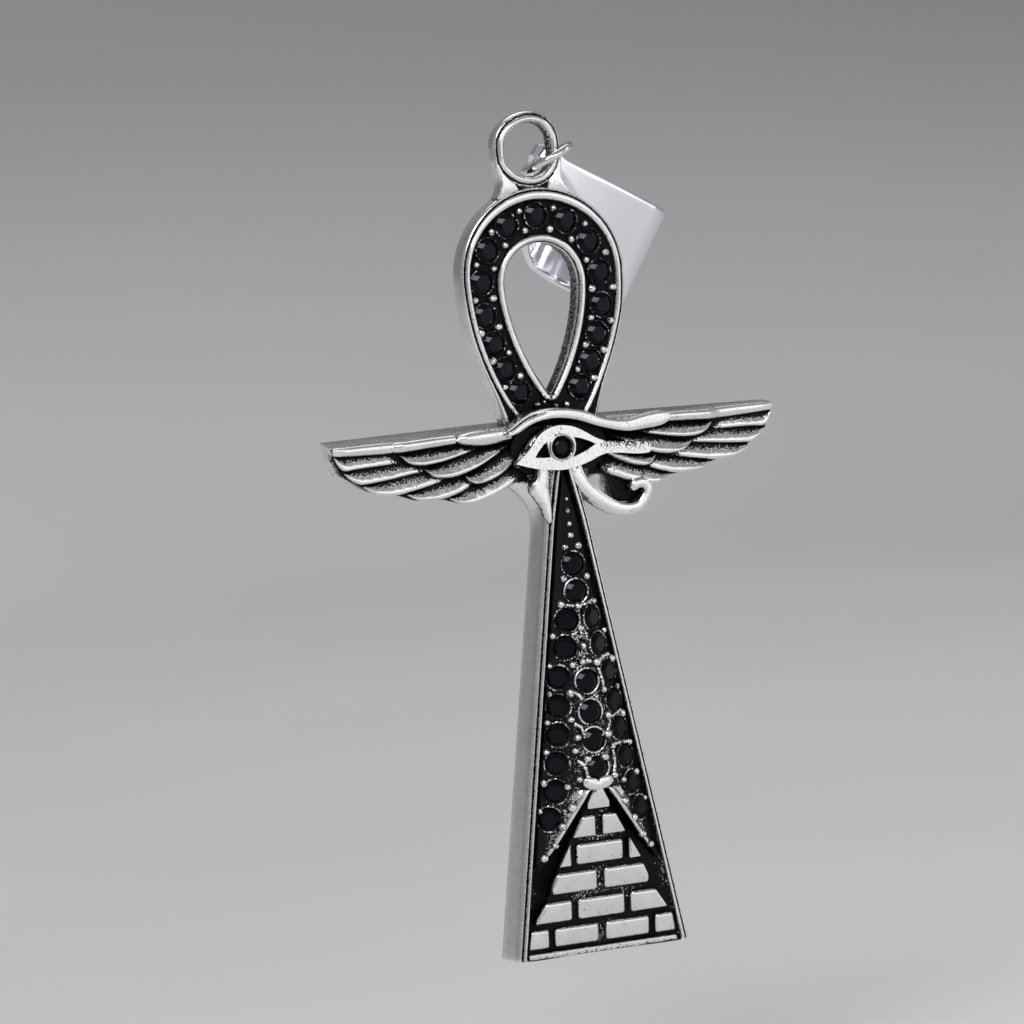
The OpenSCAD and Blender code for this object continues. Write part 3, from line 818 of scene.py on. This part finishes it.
# %% [markdown]
# A rounded slab behind the eye closes the crossing, so that no light comes through between the reliefs.

# %% Solid heart behind the eye
bm = new_mesh()
heart = [(copysign(2.2, cos(a)) + 1.9 * cos(a), -4.1 + 1.9 * sin(a)) for a in turns(40)[:-1]]
slab(bm, heart, HEART_FRONT, BACK - 0.3, 0.2, 0.0)
piece("heart", bm, level=0)

# %% [markdown]
# ## Beads and bezels
# Tiny beads of metal are pushed over the stones' edges and hold them, and a thin bezel runs round each stone. The
# beads are low spheres half sunk in the ground.

# %% Where the stones are
def stone_place(name):
    """Centre of a stone's box and its front, in millimetres from the point of the loop's hole."""
    low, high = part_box(name)
    centre = (low + high) / 2 / MM
    return Vector((centre.x, low.y / MM, centre.z + CROSSING_DROP))


loop_stones = [stone_place(f"loop_stone_{i:02d}") for i in range(1, 16)]
post_stones = [stone_place(f"post_stone_{i:02d}") for i in range(1, 23)]
STONE_HALF = 0.95
BEZEL_WIRE = 0.09
UPRIGHT = Matrix.Rotation(pi / 2, 3, "X")


def bead(bm, x, y, z, size, bare=1.0):
    """A bead of metal: a small sphere, bright on its front."""
    layer = bm.verts.layers.float["bare"]
    made = bmesh.ops.create_icosphere(bm, subdivisions=2, radius=size)["verts"]
    shade = random.random()
    for vert in made:
        vert[layer] = bare - 0.35 * shade if vert.co.y < size * 0.2 else 0.0
    bmesh.ops.scale(bm, verts=made, vec=(random.uniform(0.85, 1.15), 1.2, random.uniform(0.85, 1.15)))
    bmesh.ops.translate(bm, verts=made, vec=(x, y, z))


def rotate(bm, verts, matrix):
    """Turns vertices round the origin."""
    bmesh.ops.rotate(bm, verts=verts, cent=(0, 0, 0), matrix=matrix)


def bezel(bm, centre, half, y, tilt, bare):
    """A thin ring of metal round a stone."""
    one = new_mesh()
    made = bmesh.ops.create_circle(one, segments=8, radius=BEZEL_WIRE)["verts"]
    rotate(one, made, UPRIGHT)
    bmesh.ops.translate(one, verts=made, vec=(half, 0, 0))
    bmesh.ops.spin(one, geom=one.edges[:], cent=(0, 0, 0), axis=(0, 0, 1), angle=2 * pi, steps=36,
                   use_merge=True)
    rotate(one, one.verts[:], UPRIGHT)
    paint(one, lambda u, v, w: bare * (0.72 + 0.3 * sin(atan2(w, u) * 2 + centre.x * 5 + centre.z)))
    rotate(one, one.verts[:], Matrix.Rotation(tilt, 3, "Z"))
    bmesh.ops.translate(one, verts=one.verts[:], vec=(centre.x, y, centre.z))
    join(bm, one)


# %% [markdown]
# On the loop, a pair of beads stands between each two neighbouring stones, one at either side of the channel.

# %% Beads and bezels of the loop
order = [*range(15, 0, -2), *range(2, 15, 2)]
around_loop = [loop_stones[i - 1] for i in order]
bm = new_mesh()
for one, other in zip(around_loop, around_loop[1:]):
    middle = (one + other) / 2
    along = (other - one).normalized()
    across = Vector((-along.z, 0, along.x))
    for reach in (random.uniform(-0.86, -0.74), random.uniform(0.68, 0.8)):
        place = middle + across * reach
        x = place.x + 0.7 * bulge(place.x, place.z) * (reach > 0)
        bead(bm, x, FRONT + 0.2, place.z, random.uniform(0.25, 0.33))
for x, z, size in ((-1.2, -0.8, 0.26), (1.3, -0.95, 0.24), (-0.55, -0.6, 0.16), (0.35, -1.0, 0.2)):
    bead(bm, x, FRONT + 0.25, z, size)
for stone in loop_stones:
    bezel(bm, stone, STONE_HALF + 0.03, FRONT + 0.28, 0, 0.45)
piece("loop_beads", bm, level=0, crisp=180)

# %% [markdown]
# The post's beads stand in pairs or alone down its middle. Low ridges of metal, each a row of small beads, join
# some of them, and a lump like a small bow sits on the pyramid's apex.

# %% Beads and bezels of the post
POST_BEADS = [  # z, x of a pair or 0 for one in the middle, size
    (-8.1, 0, 0.1), (-9, 0, 0.14), (-10, 0, 0.17), (-10.9, 0, 0.19), (-11.75, 0.55, 0.21), (-14.15, 0.95, 0.22),
    (-16.1, 1.35, 0.24), (-16.35, 0, 0.24), (-18, 0, 0.23), (-18.45, 2.15, 0.2), (-19.4, 0, 0.24),
    (-20.6, 0.25, 0.25), (-20.75, 1, 0.25), (-20.7, 2.65, 0.2), (-22.9, 1.4, 0.24), (-22.85, 2.9, 0.2),
    (-24.9, 1.55, 0.23), (-25, 3.2, 0.2), (-26.3, 1.25, 0.24), (-27.3, 1.6, 0.22), (-27.25, 3.5, 0.2),
    (-28, 0.75, 0.24), (-29.5, 1.5, 0.23), (-29.6, 3.95, 0.2), (-30, 2.35, 0.22), (-31.7, 4.5, 0.2),
    (-31.6, 2.2, 0.26), (-33, 3, 0.26), (-34.4, 3.75, 0.24), (-35.3, 4.5, 0.22)]
LUMP = [(-0.95, -29.8, 0.4), (-0.62, -29.9, 0.47), (-0.08, -30.05, 0.36), (0.46, -29.9, 0.47), (0.79, -29.8, 0.4)]
RIDGES = [  # places (x, z) that a low ridge of metal joins
    [(-0.03, -16.5), (0.03, -17.2), (0.01, -17.95)], [(-0.68, -18.44), (-0.32, -18.24), (0.02, -17.98)],
    [(1.14, -21.3), (1.38, -22.1), (1.45, -22.8)], [(-1.3, -22.8), (-0.84, -23.05), (-0.55, -23.46)],
    [(2.45, -20.3), (1.8, -20.45), (1.1, -20.75)], [(3, -24.7), (2.57, -24.88), (1.9, -25.1)],
    [(-0.75, -26.35), (0, -26.2), (0.9, -26.35)], [(3.2, -27.2), (2.63, -27.15), (1.75, -27.2)],
    [(-1.3, -25.3), (-0.9, -25.55), (-0.75, -26.2)], [(1.5, -24.9), (1.7, -25.4), (1.3, -26.1)],
    [(-1.3, -16.1), (-0.75, -16.25), (-0.1, -16.35)], [(1.25, -16.1), (0.75, -16.25), (0.1, -16.35)],
    [(-1.4, -28.1), (-1, -28.5), (-0.8, -29.6)], [(1.5, -29.4), (1.7, -28.6), (1.65, -27.5)]]
RIDGE_STEPS = 6

bm = new_mesh()
for z, x, size in POST_BEADS:
    for side in ((-1, 1) if x else (1,)):
        place = x * side + random.uniform(-0.05, 0.05)
        bead(bm, place, ground_front(place, z) - size * 0.2, z, size * random.uniform(1.25, 1.5))
band(bm, LUMP, ground_front(0, -30) - 0.25, ground_front(0, -30) + 0.5)
for ridge in RIDGES:
    for (x, z), (u, w) in zip(ridge, ridge[1:]):
        for k in range(RIDGE_STEPS):
            px, pz = mix(x, u, k / RIDGE_STEPS), mix(z, w, k / RIDGE_STEPS)
            bead(bm, px, ground_front(px, pz) + 0.02, pz, random.uniform(0.13, 0.2), 1.1)
for stone in post_stones:
    on_crown = abs(stone.x) < 0.6
    tilt = 0.0 if on_crown else copysign(atan(ROOF_SLOPE), stone.x)
    shine = 0.95 if on_crown and stone.z < -14 else 0.55
    bezel(bm, stone, STONE_HALF + 0.05, ground_front(stone.x, stone.z) - 0.04, tilt, shine)
piece("post_beads", bm, level=0, crisp=180)

# %% [markdown]
# ## The hanging eye
# The eye has a rounded section with a worn bevel, a thin black line and a flat inner face. The section is turned
# round the eye's centre, further out on the left, where the real eye is wider. A short dark neck between two
# bright cheeks joins it to the loop; its dark is partly the blackening of a set-back place and partly painted
# shade for the shadow under the hanging eye.

# %% Hanging eye and neck
EYE_STRAIGHT = 0.7
EYE_WIDEN = 0.25
CHEEK_SHIFT = 0.42
EYE_SECTION = [  # radius, depth, bare
    (2.63, 0.35, 1), (2.63, -0.15, 1), (2.58, -0.38, 1), (2.47, -0.54, 1), (2.4, -0.57, 0.5), (2.35, -0.52, 0),
    (2.29, -0.56, 0.1), (2.24, -0.68, 0.9), (2.14, -0.78, 1), (1.96, -0.8, 1), (1.84, -0.7, 1),
    (1.75, -0.55, 0.6), (1.7, -0.3, 0.25), (1.7, 0.3, 0.25), (1.75, 0.55, 0.6), (1.9, 0.76, 0.9), (2.15, 0.8, 1),
    (2.4, 0.7, 1), (2.57, 0.54, 1)]
rows = []
for a in turns(72):
    low = EYE_STRAIGHT * (cos(a) < -0.01)
    widen = EYE_WIDEN * (1 - sin(a))
    rows.append([((r + widen) * sin(a), y, r * cos(a) - low, bare) for r, y, bare in EYE_SECTION])
lofted_piece("eye_ring", rows, cap=False, drop=False)

NECK = [(-1.9, -3.5), (-1.8, -2.2), (-1, -2.55), (0, -2.65), (1, -2.55), (1.8, -2.2), (1.9, -3.5)]
CHEEK = [(-2.58, -1.1), (-2.25, -1.3), (-2.05, -1.9), (-1.7, -2.45), (-1.35, -2.8), (-1.2, -3.4), (-2.9, -3.95),
         (-3.15, -3.9), (-2.75, -3.2), (-2.52, -2.7), (-2.48, -2.1), (-2.55, -1.6)]
bm = new_mesh()
# The neck's low bare value is partly the blackening of a set-back place and partly painted shade, for the shadow
# that falls on it under the hanging eye.
slab(bm, NECK, -0.42, 0.7, 0.1, 0.2)
for side, shift in ((-1, CHEEK_SHIFT), (1, 0)):
    slab(bm, [(-x * side - shift * unit((z + 3.3) / 1.6), z) for x, z in CHEEK], -0.62, 0.72, 0.16, 1.0)
for x, z, size in ((-0.75, -2.8, 0.13), (0.1, -2.62, 0.1), (0.75, -2.85, 0.12)):
    bead(bm, x, -0.44, z, size)
piece("eye_neck", bm, level=0, drop=False)

# %% [markdown]
# ## Jump ring and bail
# The ring is round wire. The bail is one polished strip: wide at the fold where the chain runs, narrow where it
# rolls round the ring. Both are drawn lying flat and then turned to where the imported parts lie.

# %% Placing a piece that is drawn in its own axes
def turned(bm, centre, turn):
    """Turns a mesh by angles about X, Y and Z in that order and moves it to its centre."""
    rotate(bm, bm.verts[:], Euler([radians(angle) for angle in turn]).to_matrix())
    bmesh.ops.translate(bm, verts=bm.verts[:], vec=centre)


RING_CENTRE, RING_TURN = (1.9, 0.58, -1.15), (2.0, -25.3, -23.1)
RING_RADIUS, RING_WIRE = 1.985, 0.31
bm = new_mesh()
rows = []
for a in turns(60):
    ring = []
    for b in turns(16)[:-1]:
        reach = RING_RADIUS + RING_WIRE * cos(b)
        ring.append((reach * cos(a), reach * sin(a), RING_WIRE * sin(b), 0.9))
    rows.append(ring)
loft(bm, rows, cap=False)
turned(bm, RING_CENTRE, RING_TURN)
piece("jump_ring_wire", bm, "link", "ring", drop=False, crisp=180)

# %% [markdown]
# The bail's path is a teardrop: a small roll, two straight sides that swell a little, and a round fold.

# %% Bail
BAIL_CENTRE, BAIL_TURN = (2.54, 2.23, -1.12), (21.6, 29.3, 47.8)
BAIL_LENGTH, FOLD_R, ROLL_R, BAIL_WALL = 17.4, 4.7, 1.2, 0.65
ROLL_WALL, BAIL_HALF, TIP_HALF = 0.3, 3.95, 0.5
SIDE_SWELL = 0.3
ROLL_END = 0.6
STRIP_SECTION = [  # share across the strip, share of its thickness from the outside
    (0, 0), (0.5, 0), (0.86, 0), (0.95, 0.03), (0.985, 0.12), (1, 0.28), (1, 0.5),
    (1, 0.72), (0.985, 0.88), (0.95, 0.97), (0.86, 1), (0.5, 1), (0, 1)]


def bail_path():
    """Points (x, y) and outward normals round the outside of the bail's teardrop."""
    reach = BAIL_LENGTH - FOLD_R
    wide = pi / 2 + asin((FOLD_R - ROLL_R) / reach)
    top = (cos(wide), sin(wide))
    roll = [mix(2 * pi - wide, wide, k / 27) for k in range(28)]
    fold = [mix(wide, -wide, k / 48) for k in range(49)]
    upper = []
    for k in range(1, 24):
        along = k / 24
        swell = SIDE_SWELL * sin(pi * along)
        x = mix(ROLL_R * top[0], reach + FOLD_R * top[0], along)
        y = mix(ROLL_R * top[1], FOLD_R * top[1], along)
        upper.append((x + swell * top[0], y + swell * top[1]) + top)
    path = [(ROLL_R * cos(a), ROLL_R * sin(a), cos(a), sin(a)) for a in roll] + upper
    path += [(reach + FOLD_R * cos(a), FOLD_R * sin(a), cos(a), sin(a)) for a in fold]
    path += [(x, -y, nx, -ny) for x, y, nx, ny in reversed(upper)]
    return path + path[:1]


bm = new_mesh()
rows = []
for x, y, nx, ny in bail_path():
    half = float(np.interp(x, [ROLL_END, BAIL_LENGTH * 0.82], [TIP_HALF, BAIL_HALF]))
    wall = float(np.interp(x, [ROLL_END, 3.0], [ROLL_WALL, BAIL_WALL]))
    side = [(x - nx * wall * d, y - ny * wall * d, half * s, 1) for s, d in STRIP_SECTION]
    rows.append(side + [(px, py, -pz, b) for px, py, pz, b in reversed(side[1:-1])])
loft(bm, rows, cap=False)
turned(bm, BAIL_CENTRE, BAIL_TURN)
piece("bail_strip_metal", bm, "bail_strip", "bail", drop=False, crisp=60)

# %% [markdown]
# ## The black of the crevices
# Blackening stays where a polishing wheel can't reach. From each vertex a handful of short rays go out, and the
# share that strikes metal tells how hidden the place is. It is worked out once on the final meshes and kept on
# the vertices as hollow.

# %% Work out how hidden each vertex is
RAYS = 14
REACH = 0.9 * MM
LIFT = 0.02 * MM


def ray(k):
    """One of the directions that are spread over half a sphere round +Z, crowded towards its pole."""
    turn = k * pi * (3 - sqrt(5))
    up = sqrt(1 - (k + 0.5) / RAYS)
    out = sqrt(1 - up * up)
    return Vector((out * cos(turn), out * sin(turn), up))


def bake_down(obj):
    """Replaces an object's mesh with its finished one and removes the modifiers."""
    mesh = bpy.data.meshes.new_from_object(obj.evaluated_get(bpy.context.evaluated_depsgraph_get()))
    mesh.name = obj.name
    obj.modifiers.clear()
    obj.data = mesh


casting_pieces = [obj for obj in finished.values() if obj["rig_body"] == "ankh"]
for obj in finished.values():
    bake_down(obj)
all_verts, all_faces = [], []
solids = casting_pieces + [obj for name, obj in frame["nodes"].items() if "stone" in name]
for obj in solids:
    start = len(all_verts)
    all_verts += [v.co.copy() for v in obj.data.vertices]
    all_faces += [[start + i for i in p.vertices] for p in obj.data.polygons]
tree = BVHTree.FromPolygons(all_verts, all_faces)
spread = [ray(k) for k in range(RAYS)]
for obj in casting_pieces:
    values = np.zeros(len(obj.data.vertices), np.float32)
    for i, vert in enumerate(obj.data.vertices):
        turn = vert.normal.to_track_quat("Z", "Y")
        start = vert.co + vert.normal * LIFT
        values[i] = sum(tree.ray_cast(start, turn @ way, REACH)[0] is not None for way in spread) / RAYS
    obj.data.attributes.new("hollow", "FLOAT", "POINT").data.foreach_set("value", values)
print("vertices tested:", sum(len(o.data.vertices) for o in casting_pieces), "faces:", len(all_faces))

# %% [markdown]
# ## Finishes
# The blackened steel is one material driven by the two numbers on the vertices. A node group turns them into a
# mask with a gritty border, because polish catches the grains of the casting one by one.

# %% Node helpers
def feed(tree, value, socket):
    """Sets a socket. A node links its first output to it, and a tuple (node, output) any other."""
    if hasattr(value, "outputs"):
        value = (value, 0)
    if isinstance(value, tuple) and hasattr(value[0], "outputs"):
        tree.links.new(value[0].outputs[value[1]], socket)
    else:
        socket.default_value = value


def node(tree, kind, inputs, **properties):
    """A node with its inputs, by name or number, and its properties set."""
    made = tree.nodes.new(kind)
    for key, value in properties.items():
        setattr(made, key, value)
    for key, value in inputs.items():
        feed(tree, value, made.inputs[key])
    return made


def maths(tree, operation, a, b):
    """A Math node on two numbers or links."""
    return node(tree, "ShaderNodeMath", {0: a, 1: b}, operation=operation)


def noise(tree, vector, scale, detail=2.0, roughness=0.5):
    """A noise over a vector."""
    values = {"Vector": vector, "Scale": scale, "Detail": detail, "Roughness": roughness}
    return node(tree, "ShaderNodeTexNoise", values)


def ramp(tree, value, low, high, start=0.0, end=1.0, curve="LINEAR"):
    """Stretches what lies between low and high to start and end."""
    values = {0: value, 1: low, 2: high, 3: start, 4: end}
    return node(tree, "ShaderNodeMapRange", values, interpolation_type=curve)


def blend(tree, share, first, second):
    """A mix of two colours by a share, as the output that carries it."""
    return node(tree, "ShaderNodeMix", {0: share, 6: first, 7: second}, data_type="RGBA"), 2


# %% [markdown]
# The mask's group adds a noise and round spots to the bare number, takes the hollow number off, and cuts the sum
# between two levels. What comes out is the mask and the height of its grains.

# %% Group: gritty border between black and bare
SPOT_SCALE, SPOT_DEPTH = 0.8, -0.35
NOISE_MIDDLE = 0.33
GRIT_GAIN = 2.2
HOLLOW_WEIGHT = 0.9
MASK_LOW, MASK_HIGH = 0.36, 0.6

grit = bpy.data.node_groups.new("Gritty wear", "ShaderNodeTree")
grit.interface.new_socket("Vector", in_out="INPUT", socket_type="NodeSocketVector")
for label in ("Bare", "Hollow", "Grains per metre", "Grit"):
    grit.interface.new_socket(label, in_out="INPUT", socket_type="NodeSocketFloat")
for label in ("Mask", "Height"):
    grit.interface.new_socket(label, in_out="OUTPUT", socket_type="NodeSocketFloat")
given, result = grit.nodes.new("NodeGroupInput"), grit.nodes.new("NodeGroupOutput")
grains = (given, "Grains per metre")
fine = noise(grit, (given, "Vector"), grains, 3.0, 0.6)
spot_scale = maths(grit, "MULTIPLY", grains, SPOT_SCALE)
spots = node(grit, "ShaderNodeTexVoronoi", {"Vector": (given, "Vector"), "Scale": spot_scale}, feature="F1")
rough_height = maths(grit, "ADD", fine, maths(grit, "MULTIPLY", spots, SPOT_DEPTH))
gain = maths(grit, "MULTIPLY", (given, "Grit"), GRIT_GAIN)
pushed = maths(grit, "MULTIPLY", maths(grit, "SUBTRACT", rough_height, NOISE_MIDDLE), gain)
weighed = maths(grit, "MULTIPLY", (given, "Hollow"), HOLLOW_WEIGHT)
total = maths(grit, "ADD", maths(grit, "SUBTRACT", (given, "Bare"), weighed), pushed)
feed(grit, ramp(grit, total, MASK_LOW, MASK_HIGH, curve="SMOOTHSTEP"), result.inputs["Mask"])
feed(grit, rough_height, result.inputs["Height"])

# %% [markdown]
# Three finishes are made here: the blackened casting, the bright polish of ring and bail, and the stones' jet
# black. Each works in Object coordinates, so its grain stays in place when a part moves.

# %% Materials
BLACK = (0.014, 0.014, 0.015, 1)
DULL_STEEL = (0.7, 0.675, 0.67, 1)
STEEL = (0.9, 0.875, 0.87, 1)
GRAINS = 8000.0
GRIT = 0.95
BLACK_ROUGHNESS = 0.42


def new_material(name):
    """A material, its tree and its object coordinates."""
    material = bpy.data.materials.new(name)
    material.use_nodes = True
    tree = material.node_tree
    return material, tree, (tree.nodes.new("ShaderNodeTexCoord"), "Object")


def dress(tree, values):
    """Sets or links the shader's inputs by name."""
    for name, value in values.items():
        feed(tree, value, tree.nodes["Principled BSDF"].inputs[name])


def carried(tree, name):
    """The number that a vertex carries."""
    return node(tree, "ShaderNodeAttribute", {}, attribute_name=name), "Fac"


def antique(name):
    """Steel that was blackened and polished again."""
    material, tree, place = new_material(name)
    values = {"Vector": place, "Bare": carried(tree, "bare"), "Hollow": carried(tree, "hollow"),
              "Grains per metre": GRAINS, "Grit": GRIT}
    wear = node(tree, "ShaderNodeGroup", values, node_tree=grit)
    tone = blend(tree, noise(tree, place, 700.0), DULL_STEEL, STEEL)
    bright = ramp(tree, noise(tree, place, 4000.0, 3.0), 0.3, 0.7, 0.16, 0.3)
    rough = node(tree, "ShaderNodeMix", {0: (wear, "Mask"), 2: BLACK_ROUGHNESS, 3: bright}, data_type="FLOAT")
    lumps = maths(tree, "MULTIPLY", (wear, "Height"), ramp(tree, (wear, "Mask"), 0.0, 1.0, 1.3, 0.06))
    bump = node(tree, "ShaderNodeBump", {"Strength": 0.8, "Distance": 0.00006, "Height": lumps})
    dress(tree, {"Base Color": blend(tree, (wear, "Mask"), BLACK, tone), "Roughness": rough, "Metallic": 1.0,
                 "Normal": bump})
    return material


def polished(name, colour, low, high):
    """Bright polished steel with hair lines."""
    material, tree, place = new_material(name)
    rough = ramp(tree, noise(tree, place, 900.0, 4.0), 0.35, 0.65, low, high)
    lines = noise(tree, place, 6000.0)
    bump = node(tree, "ShaderNodeBump", {"Strength": 0.08, "Distance": 0.00001, "Height": lines})
    dress(tree, {"Base Color": colour, "Roughness": rough, "Metallic": 1.0, "Normal": bump})
    return material


def jet(name):
    """Jet black faceted stone with a faint blue cast in its reflections."""
    material, tree, place = new_material(name)
    tone = blend(tree, noise(tree, place, 600.0), (0.001, 0.001, 0.0015, 1), (0.003, 0.0035, 0.005, 1))
    dress(tree, {"Base Color": tone, "Roughness": 0.03, "IOR": 1.36, "Specular IOR Level": 0.24,
                 "Specular Tint": (0.85, 0.88, 1, 1)})
    return material


finishes = {"ankh": antique("Blackened steel casting"),
            "link": polished("Polished wire", (0.74, 0.73, 0.72, 1), 0.08, 0.16),
            "bail_strip": polished("Polished strip", (0.9, 0.9, 0.94, 1), 0.09, 0.15)}
stone_finish = jet("Jet black stone")

for obj in finished.values():
    obj.data.materials.clear()
    obj.data.materials.append(finishes[obj["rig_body"]])
for name, obj in frame["nodes"].items():
    if "stone" in name:
        obj.data.materials.clear()
        obj.data.materials.append(stone_finish)
for obj in casting_pieces:
    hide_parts("ankh_casting")
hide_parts("jump_ring")
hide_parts("bail")

# %% [markdown]
# ## Floor, backdrop and light
# Polished metal shows what stands round it, so the studio matters as much as the finish. A pale sheet runs from
# the floor up the back in one curve, and its colour is painted darker with height: painted shade, where the light
# falls off up the back.

# %% Floor and backdrop in one sheet
FLOOR_Z = -0.078
SHEET_HALF = 0.9
CURVE_START = 0.5
CURVE_RADIUS = 0.25
PAINTED_SHADE_TOP = 0.03

profile = [(-SHEET_HALF, FLOOR_Z), (CURVE_START, FLOOR_Z)]
profile += [(CURVE_START + CURVE_RADIUS * sin(a), FLOOR_Z + CURVE_RADIUS - CURVE_RADIUS * cos(a))
            for a in np.linspace(0.1, pi / 2, 14)]
profile += [(CURVE_START + CURVE_RADIUS, SHEET_HALF)]
sheet = new_mesh()
rows = [[(x, y, z, 0) for y, z in profile] for x in (-SHEET_HALF, SHEET_HALF)]
loft(sheet, rows, closed=False)
bmesh.ops.recalc_face_normals(sheet, faces=sheet.faces[:])
backdrop = mesh_object("backdrop", sheet)
backdrop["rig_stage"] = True
paper, tree, place = new_material("Pale backdrop paper with painted shade")
tone = blend(tree, noise(tree, place, 9.0), (0.7, 0.7, 0.705, 1), (0.8, 0.8, 0.805, 1))
height = node(tree, "ShaderNodeSeparateXYZ", {"Vector": place})
# Painted shade: the paper is mixed towards a dark grey from the floor up to the top of the ramp, for light
# falling off with height.
rise = ramp(tree, (height, 2), FLOOR_Z, PAINTED_SHADE_TOP, curve="SMOOTHSTEP")
dress(tree, {"Base Color": blend(tree, rise, tone, (0.4, 0.392, 0.385, 1)), "Roughness": 0.9})
backdrop.data.materials.append(paper)

# %% [markdown]
# Six soft lights: the key above on the left, a wide window in front on the right, a small front light, a weak one
# from the side, one for the backdrop, and a low one that brightens the paper beside the foot. The pale room gives
# the side walls their even grey.

# %% Lights
def soft_light(name, place, aim, size, power):
    """A square soft light at a place, turned to its aim."""
    data = bpy.data.lights.new(name, "AREA")
    data.shape = "SQUARE"
    data.size = size
    data.energy = power
    obj = add_object(name, data)
    obj.location = place
    obj.rotation_euler = (Vector(aim) - Vector(place)).to_track_quat("-Z", "Y").to_euler()


MIDDLE = (0, 0, -0.03)
soft_light("key", (-0.22, -0.3, 0.3), MIDDLE, 0.17, 1.3)
soft_light("window", (0.27, -0.54, 0.02), MIDDLE, 0.42, 0.58)
soft_light("front", (-0.05, -0.55, 0.25), MIDDLE, 0.25, 0.35)
soft_light("side", (0.36, -0.1, -0.02), MIDDLE, 0.2, 0.1)
soft_light("back", (0.1, 0.35, 0.5), (0, 0.5, -0.05), 0.4, 0.85)
soft_light("low", (0.27, -0.08, 0.12), (0.22, -0.06, -0.08), 0.08, 0.05)
world = bpy.data.worlds.new("room")
bpy.context.scene.world = world
world.use_nodes = True
background = world.node_tree.nodes["Background"]
background.inputs["Color"].default_value = (0.76, 0.76, 0.8, 1)
background.inputs["Strength"].default_value = 0.4
bpy.context.scene.view_settings.view_transform = "Standard"

# %% [markdown]
# ## Size of the finished model
# The box round the finished model, without the backdrop, is worked out from the evaluated pieces.

# %% Box of the finished model
low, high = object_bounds()
